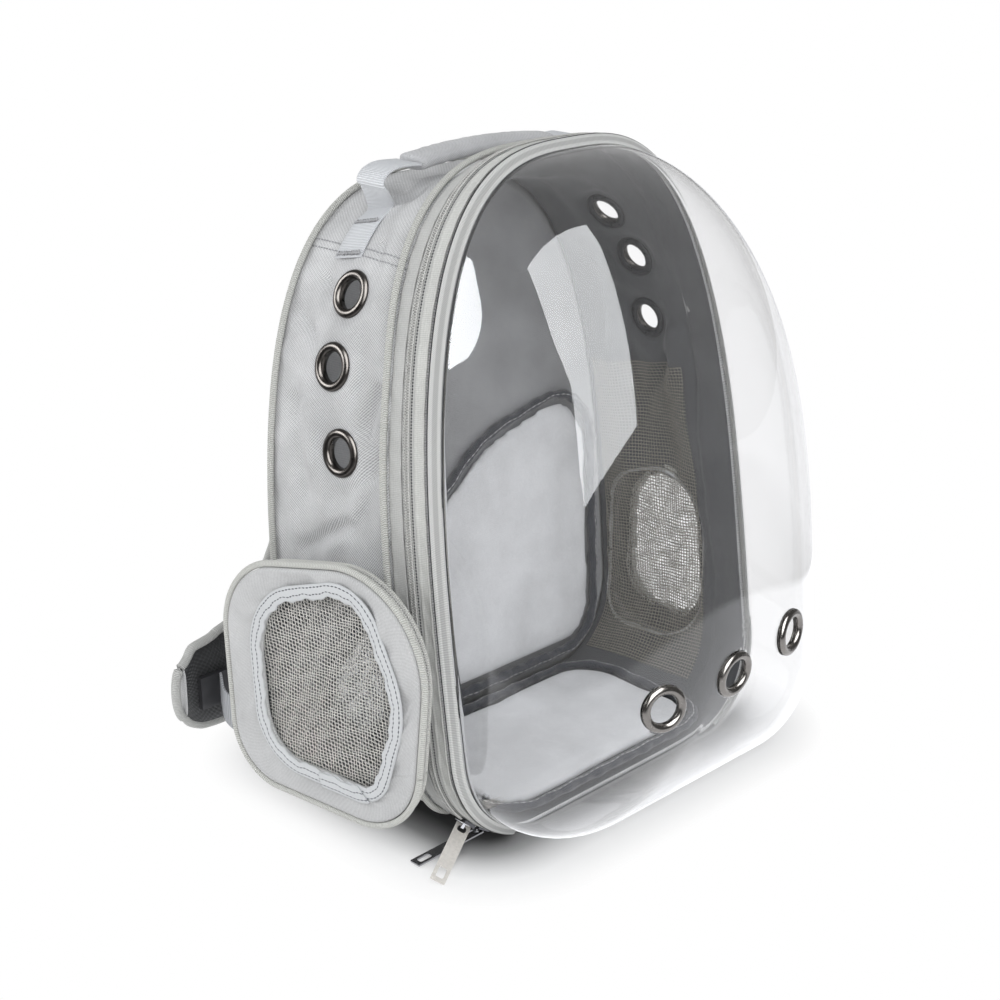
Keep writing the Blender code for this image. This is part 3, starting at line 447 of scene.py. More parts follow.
def cord_piece(name, centres, radius, look, sides=8, closed=True, ends=0.6):
    """A round cord: at each point of the path, a circle of the radius in the plane across the path,
    with U as the length travelled and V as the distance round it; open ends close on a point."""
    centres = np.asarray(centres, float)
    count = len(centres)
    if closed:
        ahead = np.roll(centres, -1, 0) - np.roll(centres, 1, 0)
    else:
        ahead = np.gradient(centres, axis=0)
    ahead = ahead / np.linalg.norm(ahead, axis=1, keepdims=True)
    middle = centres.mean(0)
    out = centres - middle
    out = out - (out * ahead).sum(1)[:, None] * ahead
    out = out / np.linalg.norm(out, axis=1, keepdims=True)
    side = np.cross(ahead, out)
    turn = 2 * math.pi * np.arange(sides) / sides
    width = np.full(count, radius)
    if not closed:
        width[0] = width[-1] = radius * ends
    ring = out[:, None] * np.cos(turn)[None, :, None] + side[:, None] * np.sin(turn)[None, :, None]
    points = centres[:, None] + ring * width[:, None, None]
    travelled = np.concatenate([[0.0], np.cumsum(np.linalg.norm(np.diff(centres, axis=0), axis=1))])
    uv = np.stack(np.broadcast_arrays(travelled[:, None], (radius * turn)[None, :]), -1)
    faces = grid_faces(count, sides, wrap_rows=closed, wrap_cols=True)
    points, uv = points.reshape(-1, 3), uv.reshape(-1, 2)
    if not closed:
        tips = np.array([centres[0] - ahead[0] * radius * 0.4, centres[-1] + ahead[-1] * radius * 0.4])
        points, uv = np.vstack([points, tips]), np.vstack([uv, uv[[0, -1]]])
        ring_at = np.arange(0, sides, 2)
        first, last = len(points) - 2, len(points) - 1
        start = np.stack(
            [ring_at, (ring_at + 1) % sides, (ring_at + 2) % sides, np.full(len(ring_at), first)], 1
        )
        base = (count - 1) * sides
        end = np.stack(
            [
                base + ring_at, base + (ring_at + 1) % sides, base + (ring_at + 2) % sides,
                np.full(len(ring_at), last),
            ],
            1,
        )
        faces = np.vstack([faces, start, end])
    return mesh_piece(name, points, faces, look, uv)


def twisted_look(name, colour, dark, pitch, radius):
    """Twisted cord from its UV map in metres: a sine of the length plus the distance round makes the
    plies, with painted shade dark in the grooves between them."""
    look = bpy.data.materials.new(name)
    look.use_nodes = True
    tree = look.node_tree
    shader = tree.nodes["Principled BSDF"]
    uv = link(tree, "ShaderNodeUVMap")
    parts = link(tree, "ShaderNodeSeparateXYZ", Vector=uv.outputs[0])
    around = link(
        tree, "ShaderNodeMath", operation="MULTIPLY", in_0=parts.outputs[1],
        in_1=1.0 / (2 * math.pi * radius),
    )
    along = link(
        tree, "ShaderNodeMath", operation="MULTIPLY_ADD", in_0=parts.outputs[0], in_1=1.0 / pitch,
        in_2=around.outputs[0],
    )
    angle = link(tree, "ShaderNodeMath", operation="MULTIPLY", in_0=along.outputs[0], in_1=2 * math.pi)
    ply = link(tree, "ShaderNodeMath", operation="SINE", in_0=angle.outputs[0])
    place = link(tree, "ShaderNodeTexCoord")
    fine = link(tree, "ShaderNodeTexNoise", Vector=place.outputs["Object"], Scale=1500.0, Detail=2.0)
    mixed = link(
        tree, "ShaderNodeMath", operation="MULTIPLY_ADD", in_0=fine.outputs["Fac"], in_1=0.8,
        in_2=ply.outputs[0],
    )
    ramp = link(tree, "ShaderNodeMapRange", in_0=mixed.outputs[0], in_1=-0.9, in_2=0.7, in_3=0.0, in_4=1.0)
    # painted shade: the colour runs from the dark tone in the ply grooves to the cord's own colour on the
    # plies
    tone = link(
        tree, "ShaderNodeMix", data_type="RGBA", in_0=ramp.outputs[0], in_6=(*dark, 1.0),
        in_7=(*colour, 1.0),
    )
    tree.links.new(tone.outputs[2], shader.inputs["Base Color"])
    height = link(tree, "ShaderNodeBump", Strength=0.8, Distance=0.0005, Height=mixed.outputs[0])
    tree.links.new(height.outputs[0], shader.inputs["Normal"])
    shader.inputs["Roughness"].default_value = 0.8
    return look


# painted light: the walls' dark lining with its colour made four times lighter, for the light falling on the
# back panel's inside
back_lining_painted_light = cloth_look(
    "back panel lining painted light", (0.34, 0.343, 0.35), pitch=0.0009, slant=0.4, groove=0.7, rough=0.8, bump=0.25,
    patchy=0.2, sheen=0.3,
)
RINGS = np.linspace(0, 1, 26)
panel_shares = (np.arange(360) / 360)[:, None]
inset = WALL_THICK - 0.0004
rim = wall_point(panel_shares[:, 0], wall_depth(panel_shares[:, 0]), -inset)
reach = 1 - RINGS[None, :]
across = rim[:, None, 0] * reach
up = 0.20 + (rim[:, None, 2] - 0.20) * reach
puff = np.sin(np.clip(RINGS[None, :] * 4, 0, 1) * math.pi / 2)
crumple = 0.0006 * np.sin(across * 95 + 2 * np.sin(up * 31)) * np.sin(up * 71 + across * 40)
outer = panel_frame(across, up, -puff * (0.0012 + crumple))
inner = panel_frame(across, up, PANEL_THICK * (0.25 + 0.55 * puff) + crumple * puff)
both = np.stack([outer, inner[:, ::-1]], 1).reshape(360, -1, 3)
columns = both.shape[1]
uv = np.stack(np.broadcast_arrays(both[..., 0], both[..., 2]), -1)
faces = grid_faces(360, columns, wrap_rows=True)
middle_face = (np.arange(len(faces)) % (columns - 1)) == len(RINGS) - 1
back_cloth = mesh_piece(
    "back_panel_cloth", both, faces[~middle_face], [oxford, back_lining_painted_light], uv, outwards=False
)
inner_side = (np.arange(len(faces)) % (columns - 1)) >= len(RINGS)
back_cloth.data.polygons.foreach_set("material_index", inner_side[~middle_face].astype(np.int32))
work = bmesh.new()
work.from_mesh(back_cloth.data)
bmesh.ops.remove_doubles(work, verts=work.verts, dist=0.00002)
bmesh.ops.holes_fill(work, edges=[e for e in work.edges if e.is_boundary], sides=0)
bmesh.ops.recalc_face_normals(work, faces=work.faces)
work.to_mesh(back_cloth.data)
work.free()
dress(back_cloth, "oxford_cloth", "back_panel")

PIPING = 0.0022
cord_cream = twisted_look(
    "twisted cord", (0.74, 0.74, 0.70), (0.46, 0.46, 0.43), pitch=0.0014, radius=PIPING
)
piping_shares = np.linspace(5 / 48, 43 / 48, 700)
lift = PIPING + 0.0003
tucked = np.clip(1 - (piping_shares - piping_shares[0]) * OUTLINE_LENGTH / 0.020, 0, 1)
tucked = tucked + np.clip(1 - (piping_shares[-1] - piping_shares) * OUTLINE_LENGTH / 0.020, 0, 1)
front_lift = lift - 0.0040 * tucked**2
front_cord = cord_piece(
    "front_piping_cord", wall_point(piping_shares, 0.0333, front_lift), PIPING, cord_cream, closed=False
)
dress(front_cord, "cord_piping", "front_piping")
depth = wall_depth(piping_shares) - PIPING
back_cord = cord_piece(
    "back_piping_cord", wall_point(piping_shares, depth, lift), PIPING, cord_cream, closed=False
)
dress(back_cord, "cord_piping", "back_piping")

# The front bands: a plain strip by the door, a coil zipper, and a plain strip sewn to the wall, the last
# painted darker as shade.
# They run over the arch from one lower corner to the other, each folded at its edges.
BAND_SHARES = np.linspace(4 / 48, 44 / 48, 560)


def band_piece(name, low, high, look, profile, thick=0.0014, shares=BAND_SHARES, rows=15):
    """A band on the wall: its cross profile, a height over the distance across, carried along the
    wall's shares, with U as the length along it and V as the distance across it."""
    across = np.linspace(low, high, rows)
    part = (across - low) / (high - low)
    heights = -0.0003 + profile(part, shares[:, None])
    points = wall_point(shares[:, None], np.broadcast_to(across, (len(shares), rows)), heights)
    uv = np.stack(np.broadcast_arrays((shares * OUTLINE_LENGTH)[:, None], (across - low)[None]), -1)
    obj = mesh_piece(name, points, grid_faces(len(shares), rows), look, uv, outwards=False)
    return thicken(obj, thick)


def folded(part, share):
    """Thicker over each folded edge and a little hollow between, with a slow ripple."""
    edges = np.exp(-((part - 0.1) / 0.09) ** 2) + np.exp(-((part - 0.9) / 0.09) ** 2)
    return 0.00045 * edges - 0.0003 * np.sin(math.pi * part) + 0.00018 * np.sin(share * 410 + 5 * part)


strip_cloth = cloth_look(
    "band cloth", (0.60, 0.60, 0.575), pitch=0.0011, slant=0.0, groove=0.8, bump=0.35, patchy=0.08
)
# painted shade: the band cloth painted darker on the strip sewn to the wall, for the shade in its hollow by
# the zipper
wall_strip_painted_shade = cloth_look(
    "wall strip cloth painted shade", (0.55, 0.55, 0.535), pitch=0.0011, slant=0.0, groove=0.8, bump=0.35, patchy=0.08
)
door_band = band_piece("door_strip_cloth", 0.0022, 0.0100, strip_cloth, folded)
dress(door_band, "band_cloth", "door_strip")
wall_band = band_piece("front_strip_cloth", 0.0203, 0.0308, wall_strip_painted_shade, folded)
dress(wall_band, "band_cloth", "front_gusset_strip")


def zipper_look(name, colour, dark, rows, pitch):
    """Zipper tape from its UV map in metres: ribs along it, and a row of dark stitch dots at each
    distance across, each dot where a sine of the length is high."""
    look = bpy.data.materials.new(name)
    look.use_nodes = True
    tree = look.node_tree
    shader = tree.nodes["Principled BSDF"]
    parts = link(tree, "ShaderNodeSeparateXYZ", Vector=link(tree, "ShaderNodeUVMap").outputs[0])
    angle = link(
        tree, "ShaderNodeMath", operation="MULTIPLY", in_0=parts.outputs[0], in_1=2 * math.pi / pitch
    )
    beat = link(tree, "ShaderNodeMath", operation="SINE", in_0=angle.outputs[0])
    total = None
    for at, half in rows:
        away = link(tree, "ShaderNodeMath", operation="SUBTRACT", in_0=parts.outputs[1], in_1=at)
        size = link(tree, "ShaderNodeMath", operation="ABSOLUTE", in_0=away.outputs[0])
        near = link(
            tree, "ShaderNodeMapRange", in_0=size.outputs[0], in_1=0.0, in_2=half, in_3=1.6, in_4=0.0
        )
        total = near if total is None else link(
            tree, "ShaderNodeMath", operation="MAXIMUM", in_0=total.outputs[0], in_1=near.outputs[0]
        )
    dots = link(
        tree, "ShaderNodeMath", operation="MULTIPLY_ADD", in_0=beat.outputs[0], in_1=0.55,
        in_2=total.outputs[0],
    )
    mask = link(tree, "ShaderNodeMapRange", in_0=dots.outputs[0], in_1=0.75, in_2=1.05)
    tone = link(
        tree, "ShaderNodeMix", data_type="RGBA", in_0=mask.outputs[0], in_6=(*colour, 1.0),
        in_7=(*dark, 1.0),
    )
    tree.links.new(tone.outputs[2], shader.inputs["Base Color"])
    ribs = link(
        tree, "ShaderNodeMath", operation="MULTIPLY", in_0=parts.outputs[1], in_1=2 * math.pi / 0.0007
    )
    wave = link(tree, "ShaderNodeMath", operation="SINE", in_0=ribs.outputs[0])
    both = link(
        tree, "ShaderNodeMath", operation="MULTIPLY_ADD", in_0=beat.outputs[0], in_1=0.5,
        in_2=wave.outputs[0],
    )
    height = link(tree, "ShaderNodeBump", Strength=0.4, Distance=0.0003, Height=both.outputs[0])
    tree.links.new(height.outputs[0], shader.inputs["Normal"])
    shader.inputs["Roughness"].default_value = 0.75
    return look


def plain_look(name, colour, rough=0.6, metal=0.0, grain=0.10, scale=220.0, bump=0.1, coat=0.0, sheen=0.0):
    """A plain finish with fine noise in its colour, roughness and relief."""
    look = bpy.data.materials.new(name)
    look.use_nodes = True
    tree = look.node_tree
    shader = tree.nodes["Principled BSDF"]
    place = link(tree, "ShaderNodeTexCoord")
    noise = link(tree, "ShaderNodeTexNoise", Vector=place.outputs["Object"], Scale=scale, Detail=5.0)
    shade = link(
        tree, "ShaderNodeMapRange", in_0=noise.outputs["Fac"], in_1=0.3, in_2=0.7, in_3=1.0 - grain,
        in_4=1.0 + grain,
    )
    tone = link(tree, "ShaderNodeVectorMath", operation="SCALE", in_0=colour, in_3=shade.outputs[0])
    tree.links.new(tone.outputs[0], shader.inputs["Base Color"])
    gloss = link(
        tree, "ShaderNodeMapRange", in_0=noise.outputs["Fac"], in_1=0.3, in_2=0.7, in_3=rough * 0.8,
        in_4=min(rough * 1.2, 1.0),
    )
    tree.links.new(gloss.outputs[0], shader.inputs["Roughness"])
    height = link(tree, "ShaderNodeBump", Strength=bump, Distance=0.0004, Height=noise.outputs["Fac"])
    tree.links.new(height.outputs[0], shader.inputs["Normal"])
    shader.inputs["Metallic"].default_value = metal
    shader.inputs["Coat Weight"].default_value = coat
    shader.inputs["Sheen Weight"].default_value = sheen
    return look


ZIP_LOW, ZIP_HIGH = 0.0103, 0.0200
tape_rows = ((0.0021, 0.0008), (0.0080, 0.0013))
tape_look = zipper_look("zipper tape", (0.50, 0.50, 0.485), (0.035, 0.035, 0.04), tape_rows, pitch=0.0019)
coil_look = plain_look("zipper coil", (0.56, 0.555, 0.535), rough=0.42, scale=900.0, bump=0.05)


def flat_tape(part, _share):
    """A tape that rises a little towards its middle."""
    return 0.0003 * np.sin(math.pi * part) - 0.0003


zip_tape = band_piece("zipper_tape_cloth", ZIP_LOW, ZIP_HIGH, tape_look, flat_tape, thick=0.0009)
dress(zip_tape, "zipper_tape", "main_zipper")


def coil_piece(name, point_at, starts, ends, middle, count, look, half=0.0019, rise=0.0012, wire=0.00048):
    """Two rows of zipper teeth that lean into each other: each tooth is a short wire on a half
    sine from the middle line outwards and back, on places and lifts that point_at turns to 3-D."""
    along = np.linspace(starts, ends, count)
    pitch = (ends - starts) / count
    turn = np.linspace(0, math.pi, 5)
    ring = 2 * math.pi * np.arange(4) / 4
    shapes = []
    for way in (1.0, -1.0):
        shift = along[:, None] + way * 0.25 * pitch + pitch * 0.55 * np.cos(turn)[None, :] * way
        out = middle + way * (0.00015 + half * np.sin(turn)[None, :]) + 0 * shift
        height = rise * (1.0 - 0.45 * np.sin(turn)[None, :]) + 0 * shift
        path = point_at(shift, out, height)
        up = point_at(shift, out, height + 0.001) - path
        up = up / np.linalg.norm(up, axis=-1, keepdims=True)
        ahead = np.gradient(path, axis=1)
        ahead = ahead / np.linalg.norm(ahead, axis=-1, keepdims=True)
        side = np.cross(ahead, up)
        circle = up[:, :, None] * np.cos(ring)[:, None] + side[:, :, None] * np.sin(ring)[:, None]
        shapes.append((path[:, :, None] + circle * wire).reshape(-1, 3))
    points = np.vstack(shapes)
    tooth = grid_faces(len(turn), 4, wrap_cols=True)
    cap = np.array([[0, 1, 2, 3], [16, 17, 18, 19]])
    tooth = np.vstack([tooth, cap])
    faces = (tooth[None] + (np.arange(len(points) // 20) * 20)[:, None, None]).reshape(-1, 4)
    return mesh_piece(name, points, faces, look)


def on_wall(share, back, lift):
    """A place on the padded wall."""
    return wall_point(share, back, lift)


teeth = coil_piece("zipper_teeth", on_wall, 4 / 48 + 0.001, 44 / 48 - 0.001, 0.01535, 640, coil_look)
dress(teeth, "zipper_tape")

# Where two lengths of the wall's cloth join below the handle, two rows of lock stitches in grey
# thread cross the left side, each stitch a short round lump pulled down at its ends.
SEAM_ROWS = (
    ((0.0334, 0.6055), (0.0818, 0.5970), (0.1338, 0.5896)),
    ((0.0334, 0.6095), (0.0818, 0.6010), (0.1330, 0.5940)),
)
STITCH_PITCH = 0.0028
STITCH_LONG = 0.0021
STITCH_RADIUS = 0.00042
thread = plain_look("seam thread", (0.33, 0.33, 0.345), rough=0.7, grain=0.2, scale=900.0)
stitch_points, stitch_faces = [], []
for row in SEAM_ROWS:
    knots = np.array(row)
    starts = np.arange(knots[0, 0], knots[-1, 0] - STITCH_LONG, STITCH_PITCH)
    part = np.linspace(0, 1, 7)
    backs = starts[:, None] + STITCH_LONG * part
    shares = np.interp(backs, knots[:, 0], knots[:, 1])
    line = wall_point(shares, backs, 0.0004, creased=1.0)
    normal = wall_normal(shares, backs)
    ahead = np.gradient(line, axis=1)
    sideways = np.cross(normal, ahead)
    sideways = sideways / np.linalg.norm(sideways, axis=-1, keepdims=True)
    turn = 2 * math.pi * np.arange(8) / 8
    round_it = sideways[:, :, None] * np.cos(turn)[:, None] + normal[:, :, None] * (
        np.sin(turn)[:, None] * 0.8
    )
    thickness = STITCH_RADIUS * (0.25 + 0.75 * np.sqrt(np.sin(math.pi * part)))
    rings = line[:, :, None] + round_it * thickness[None, :, None, None]
    grid = grid_faces(len(part), 8, wrap_cols=True)
    start = sum(len(points) for points in stitch_points)
    stitch_faces.append(
        (grid[None] + (np.arange(len(starts)) * rings[0].size // 3)[:, None, None] + start).reshape(-1, 4)
    )
    stitch_points.append(rings.reshape(-1, 3))
seam_stitches = mesh_piece("wall_seam_stitches", np.vstack(stitch_points), np.vstack(stitch_faces), thread)
dress(seam_stitches, "oxford_cloth")

# The rim binding: woven tape that slopes from the dome's edge down to the bands. It has two bright
# selvedges with a greyer woven middle, and a thin dark seam line beside the door strip.
DOOR_OUTLINE = (0.144, 0.420, 0.075, 0.062)
DOOR_RAISE = 0.007


def door_edge(shares):
    """The edge of the clear door: its D outline in the rim's plane, moved a little up."""
    across, up = arch_outline(shares, *DOOR_OUTLINE)
    return np.stack([across, RIM_LEAN * up - MIDDLE_Y, up + DOOR_RAISE], axis=-1)


def binding_look():
    """Rim tape from its UV map, V from 0 at the dome to 1 at the bands: bright at both selvedges,
    grey between with a fine weave across, dark in a thin line at the bands."""
    look = bpy.data.materials.new("rim binding tape")
    look.use_nodes = True
    tree = look.node_tree
    shader = tree.nodes["Principled BSDF"]
    parts = link(tree, "ShaderNodeSeparateXYZ", Vector=link(tree, "ShaderNodeUVMap").outputs[0])
    ramp = link(tree, "ShaderNodeValToRGB", Fac=parts.outputs[1])
    bright, grey, black = (0.68, 0.68, 0.665, 1), (0.50, 0.50, 0.49, 1), (0.012, 0.012, 0.014, 1)
    stops = ramp.color_ramp.elements
    stops[0].position, stops[0].color = 0.0, grey
    stops[1].position, stops[1].color = 1.0, black
    for position, colour in (
        (0.06, bright), (0.24, bright), (0.32, grey), (0.60, grey), (0.68, bright), (0.91, bright),
        (0.94, black),
    ):
        stops.new(position).color = colour
    twill = link(
        tree, "ShaderNodeMath", operation="MULTIPLY", in_0=parts.outputs[0], in_1=2 * math.pi / 0.0011
    )
    lean = link(
        tree, "ShaderNodeMath", operation="MULTIPLY_ADD", in_0=parts.outputs[1], in_1=22.0,
        in_2=twill.outputs[0],
    )
    wave = link(tree, "ShaderNodeMath", operation="SINE", in_0=lean.outputs[0])
    shade = link(
        tree, "ShaderNodeMapRange", in_0=wave.outputs[0], in_1=-1.0, in_2=1.0, in_3=0.72, in_4=1.08
    )
    tone = link(
        tree, "ShaderNodeVectorMath", operation="SCALE", in_0=ramp.outputs["Color"], in_3=shade.outputs[0]
    )
    tree.links.new(tone.outputs[0], shader.inputs["Base Color"])
    height = link(tree, "ShaderNodeBump", Strength=0.6, Distance=0.0003, Height=wave.outputs[0])
    tree.links.new(height.outputs[0], shader.inputs["Normal"])
    shader.inputs["Roughness"].default_value = 0.8
    return look


rim_shares = np.linspace(4 / 48, 44 / 48, 560)[:, None]
part = np.linspace(0, 1, 19)[None, :]
near, far = door_edge(rim_shares[:, 0]), front_edge(rim_shares[:, 0])
slope = far - near
slope_out = np.cross(np.gradient(near, axis=0), slope)
slope_out = slope_out / np.linalg.norm(slope_out, axis=1, keepdims=True)
slope_out = slope_out * np.sign((slope_out * (near - [0, near[:, 1].mean(), 0.2])).sum(1))[:, None]
crown = 0.0006 * np.sin(math.pi * part) + 0.0004 * (
    np.exp(-((part - 0.15) / 0.08) ** 2) + np.exp(-((part - 0.78) / 0.08) ** 2)
) - 0.0004
tape = near[:, None] + slope[:, None] * part[..., None] + slope_out[:, None] * crown[..., None]
uv = np.stack(np.broadcast_arrays(rim_shares * OUTLINE_LENGTH, part), -1)
rim_tape = mesh_piece("rim_binding_tape", tape, grid_faces(560, 19), binding_look(), uv, outwards=False)
rim_tape.data.update()
face = rim_tape.data.polygons[10]
if Vector(face.normal).dot(Vector(slope_out[0])) < 0:
    rim_tape.data.flip_normals()
thicken(rim_tape, 0.0019)
dress(rim_tape, "rim_binding", "rim_binding")

# The domed door: one clear vinyl bubble, 1.5 mm thick, its edge held under the rim binding, with
# three round holes for air. A thin pale edge shows along its foot.
DOME_EYELETS = (
    dict(name="left", share=0.8525, turn=0.718),
    dict(name="middle", share=0.9584, turn=0.885),
    dict(name="right", share=0.1471, turn=0.832),
)


def dome_point(shares, turns, lift=0.0):
    """The bubble: each share of the door's edge runs to the middle on a superellipse quarter turn,
    rounder higher up, its depth growing with height."""
    edge = door_edge(shares)
    inwards = 1 - (0.0003 - lift) / 0.144
    power = 2.45 + (1.95 - 2.45) * edge[..., 2] / 0.433
    run = np.clip(np.cos(turns * math.pi / 2), 0, 1) ** (2 / power) * inwards
    rise = np.clip(np.sin(turns * math.pi / 2), 0, 1) ** (2 / power)
    up = 0.160 + (edge[..., 2] - 0.160) * run
    depth = 0.126 * (1 + 0.22 * (up - 0.217) / 0.21) + lift
    out = RIM_LEAN * (up - DOOR_RAISE) - MIDDLE_Y - 0.0003 - depth * rise
    return np.stack([edge[..., 0] * run, out, up], -1)


def dome_normal(share, turn):
    """Outwards on the bubble: the cross product of its steps along the edge and inwards."""
    step = 0.002
    along = dome_point(
        np.array(share + step), np.array(turn)
    ) - dome_point(np.array(share - step), np.array(turn))
    inward = dome_point(
        np.array(share), np.array(turn + step)
    ) - dome_point(np.array(share), np.array(turn - step))
    normal = np.cross(along, inward)
    return normal / np.linalg.norm(normal)


def clear_look(name, tint, rough=0.02, wave=0.03):
    """Clear vinyl: light goes through with a little tint, shadows pass it, slow noise waves it."""
    look = bpy.data.materials.new(name)
    look.use_nodes = True
    tree = look.node_tree
    shader = tree.nodes["Principled BSDF"]
    output = tree.nodes["Material Output"]
    shader.inputs["Base Color"].default_value = (*tint, 1.0)
    shader.inputs["Roughness"].default_value = rough
    shader.inputs["IOR"].default_value = 1.46
    shader.inputs["Transmission Weight"].default_value = 1.0
    place = link(tree, "ShaderNodeTexCoord")
    noise = link(tree, "ShaderNodeTexNoise", Vector=place.outputs["Object"], Scale=9.0, Detail=1.0)
    height = link(tree, "ShaderNodeBump", Strength=wave, Distance=0.02, Height=noise.outputs["Fac"])
    tree.links.new(height.outputs[0], shader.inputs["Normal"])
    through = link(tree, "ShaderNodeBsdfTransparent", Color=(0.93, 0.93, 0.93, 1.0))
    rays = link(tree, "ShaderNodeLightPath")
    mixed = link(
        tree, "ShaderNodeMixShader", in_0=rays.outputs["Is Shadow Ray"], in_1=shader.outputs[0],
        in_2=through.outputs[0],
    )
    tree.links.new(mixed.outputs[0], output.inputs["Surface"])
    return look


clear_vinyl = clear_look("clear vinyl", (0.97, 0.97, 0.975))
DOME_ROWS, DOME_COLS = 244, 92
dome_shares = (np.arange(DOME_ROWS) / DOME_ROWS)[:, None]
turns = np.linspace(0, 1, DOME_COLS)[None, :]
bubble = dome_point(
    np.broadcast_to(dome_shares, (DOME_ROWS, DOME_COLS)), np.broadcast_to(turns, (DOME_ROWS, DOME_COLS))
)
faces = grid_faces(DOME_ROWS, DOME_COLS, wrap_rows=True)
points = bubble.reshape(-1, 3)
centres = points[faces].mean(1)
keep = np.ones(len(faces), bool)
for row in DOME_EYELETS:
    middle = dome_point(np.array(row["share"]), np.array(row["turn"]))
    keep &= np.linalg.norm(centres - middle, axis=1) > 0.0124
used = np.zeros(len(points), bool)
used[faces[keep].ravel()] = True
dome_shell = mesh_piece(
    "dome_shell", points[used], (np.cumsum(used) - 1)[faces[keep]], clear_vinyl, outwards=False
)
work = bmesh.new()
work.from_mesh(dome_shell.data)
bmesh.ops.remove_doubles(work, verts=work.verts, dist=0.00003)
bmesh.ops.recalc_face_normals(work, faces=work.faces)
top_face = min(work.faces, key=lambda face: face.calc_center_median().y)
if top_face.normal.y > 0:
    bmesh.ops.reverse_faces(work, faces=work.faces)
work.to_mesh(dome_shell.data)
work.free()
thicken(dome_shell, 0.0015)
dress(dome_shell, "clear_shell", "dome")

# Eyelets: two-part nickel rings set through the cloth and through the vinyl, each a rolled flange
# with a short barrel, clinched over a blackened washer on the inside.
def turned_ring(name, profile, places, look):
    """Rings of one closed profile of radius and height, each turned about the axis at a place."""
    profile = np.asarray(profile, float)
    sides = 64
    turn = 2 * math.pi * np.arange(sides) / sides
    ring = np.stack(
        [
            profile[:, 0] * np.cos(turn)[:, None], profile[:, 0] * np.sin(turn)[:, None],
            np.broadcast_to(profile[:, 1], (sides, len(profile))),
        ],
        -1,
    )
    faces = grid_faces(sides, len(profile), wrap_rows=True, wrap_cols=True)
    every_point, every_face = [], []
    for number, place in enumerate(places):
        turned = np.array(place)
        every_point.append(ring.reshape(-1, 3) @ turned[:3, :3].T + turned[:3, 3])
        every_face.append(faces + number * sides * len(profile))
    return mesh_piece(name, np.vstack(every_point), np.vstack(every_face), look)


def eyelet_profile(thick):
    """Radius and height round the flange, from the hole over the roll and down the barrel."""
    roll = np.linspace(0, math.pi, 13)
    flange = [(0.01255 - 0.00295 * math.cos(turn), 0.0002 + 0.0026 * math.sin(turn)) for turn in roll]
    return [(0.0096, -thick)] + flange + [(0.0120, 0.0001), (0.0106, -0.0003), (0.0106, -thick)]


def washer_profile(thick):
    """Radius and height round the inner washer, a shallow dish clinched by the barrel."""
    roll = np.linspace(0, math.pi, 11)
    return [(0.0127 - 0.0028 * math.cos(turn), -thick - 0.0001 - 0.0019 * math.sin(turn)) for turn in roll]


gunmetal = plain_look(
    "eyelet gunmetal", (0.085, 0.078, 0.072), rough=0.32, metal=1.0, grain=0.10, scale=350.0, bump=0.02
)
nickel = plain_look(
    "bright nickel", (0.17, 0.16, 0.15), rough=0.24, metal=1.0, grain=0.06, scale=400.0, bump=0.02
)
washer_black = plain_look(
    "blackened washer", (0.03, 0.03, 0.033), rough=0.32, metal=0.6, grain=0.15, scale=300.0, bump=0.03
)
for row in WALL_EYELETS:
    normal = wall_normal(np.array(row["share"]), np.array(row["back"]))
    place = stand(wall_point(row["share"], row["back"]), normal)
    label = "%s_%d" % (row["side"], row["number"])
    ring = turned_ring("side_eyelet_ring_" + label, eyelet_profile(WALL_THICK), [place], gunmetal)
    dress(ring, "nickel", "side_eyelet_" + label)
    washer = turned_ring("side_eyelet_washer_" + label, washer_profile(WALL_THICK), [place], washer_black)
    dress(washer, "nickel")
for row in DOME_EYELETS:
    place = stand(
        dome_point(np.array(row["share"]), np.array(row["turn"])), dome_normal(row["share"], row["turn"])
    )
    ring = turned_ring("dome_eyelet_ring_" + row["name"], eyelet_profile(0.0015), [place], nickel)
    dress(ring, "nickel", "dome_eyelet_" + row["name"])
    washer = turned_ring("dome_eyelet_washer_" + row["name"], washer_profile(0.0015), [place], nickel)
    dress(washer, "nickel")

# The side pods: cloth pockets on each wall with a netted window, a coil zipper round the front and
# top, twisted cord on both seams, and webbing sewn round the window with two rows of stitches.
POD_WALL = 0.0025
POD_FACE = dict(
    left=((0.018, 0.026, 0.052), (0.172, 0.023, 0.036), (0.179, 0.168, 0.056), (0.000, 0.209, 0.060)),
    right=((0.052, 0.022, 0.038), (0.160, 0.022, 0.034), (0.160, 0.160, 0.042), (0.072, 0.190, 0.045)),
)
POD_WINDOW = dict(
    left=(
        (0.046, 0.050, 0.020), (0.140, 0.048, 0.030), (0.147, 0.151, 0.048), (0.058, 0.182, 0.026),
        (0.026, 0.115, 0.055),
    ),
    right=((0.070, 0.046, 0.026), (0.146, 0.046, 0.028), (0.146, 0.144, 0.036), (0.084, 0.164, 0.034)),
)
POD_FACE_X = dict(left=0.180, right=0.1645)
POD_FACE_TURN = dict(left=0.09, right=0.06)
# how far out and how far spread from foot to face each ring of the pod's wall lies
POD_STEPS = np.array([(-0.10, 0.0), (0.06, 0.0), (0.32, 0.50), (0.56, 0.93), (0.80, 0.985), (1.0, 1.0)])
POD_ROUND = 320
# where the pod's zipper starts and ends between foot and face: how far out, how far spread
POD_ZIPPER_STEPS = dict(left=((0.62, 0.945), (0.84, 0.988)), right=((0.345, 0.53), (0.483, 0.79)))


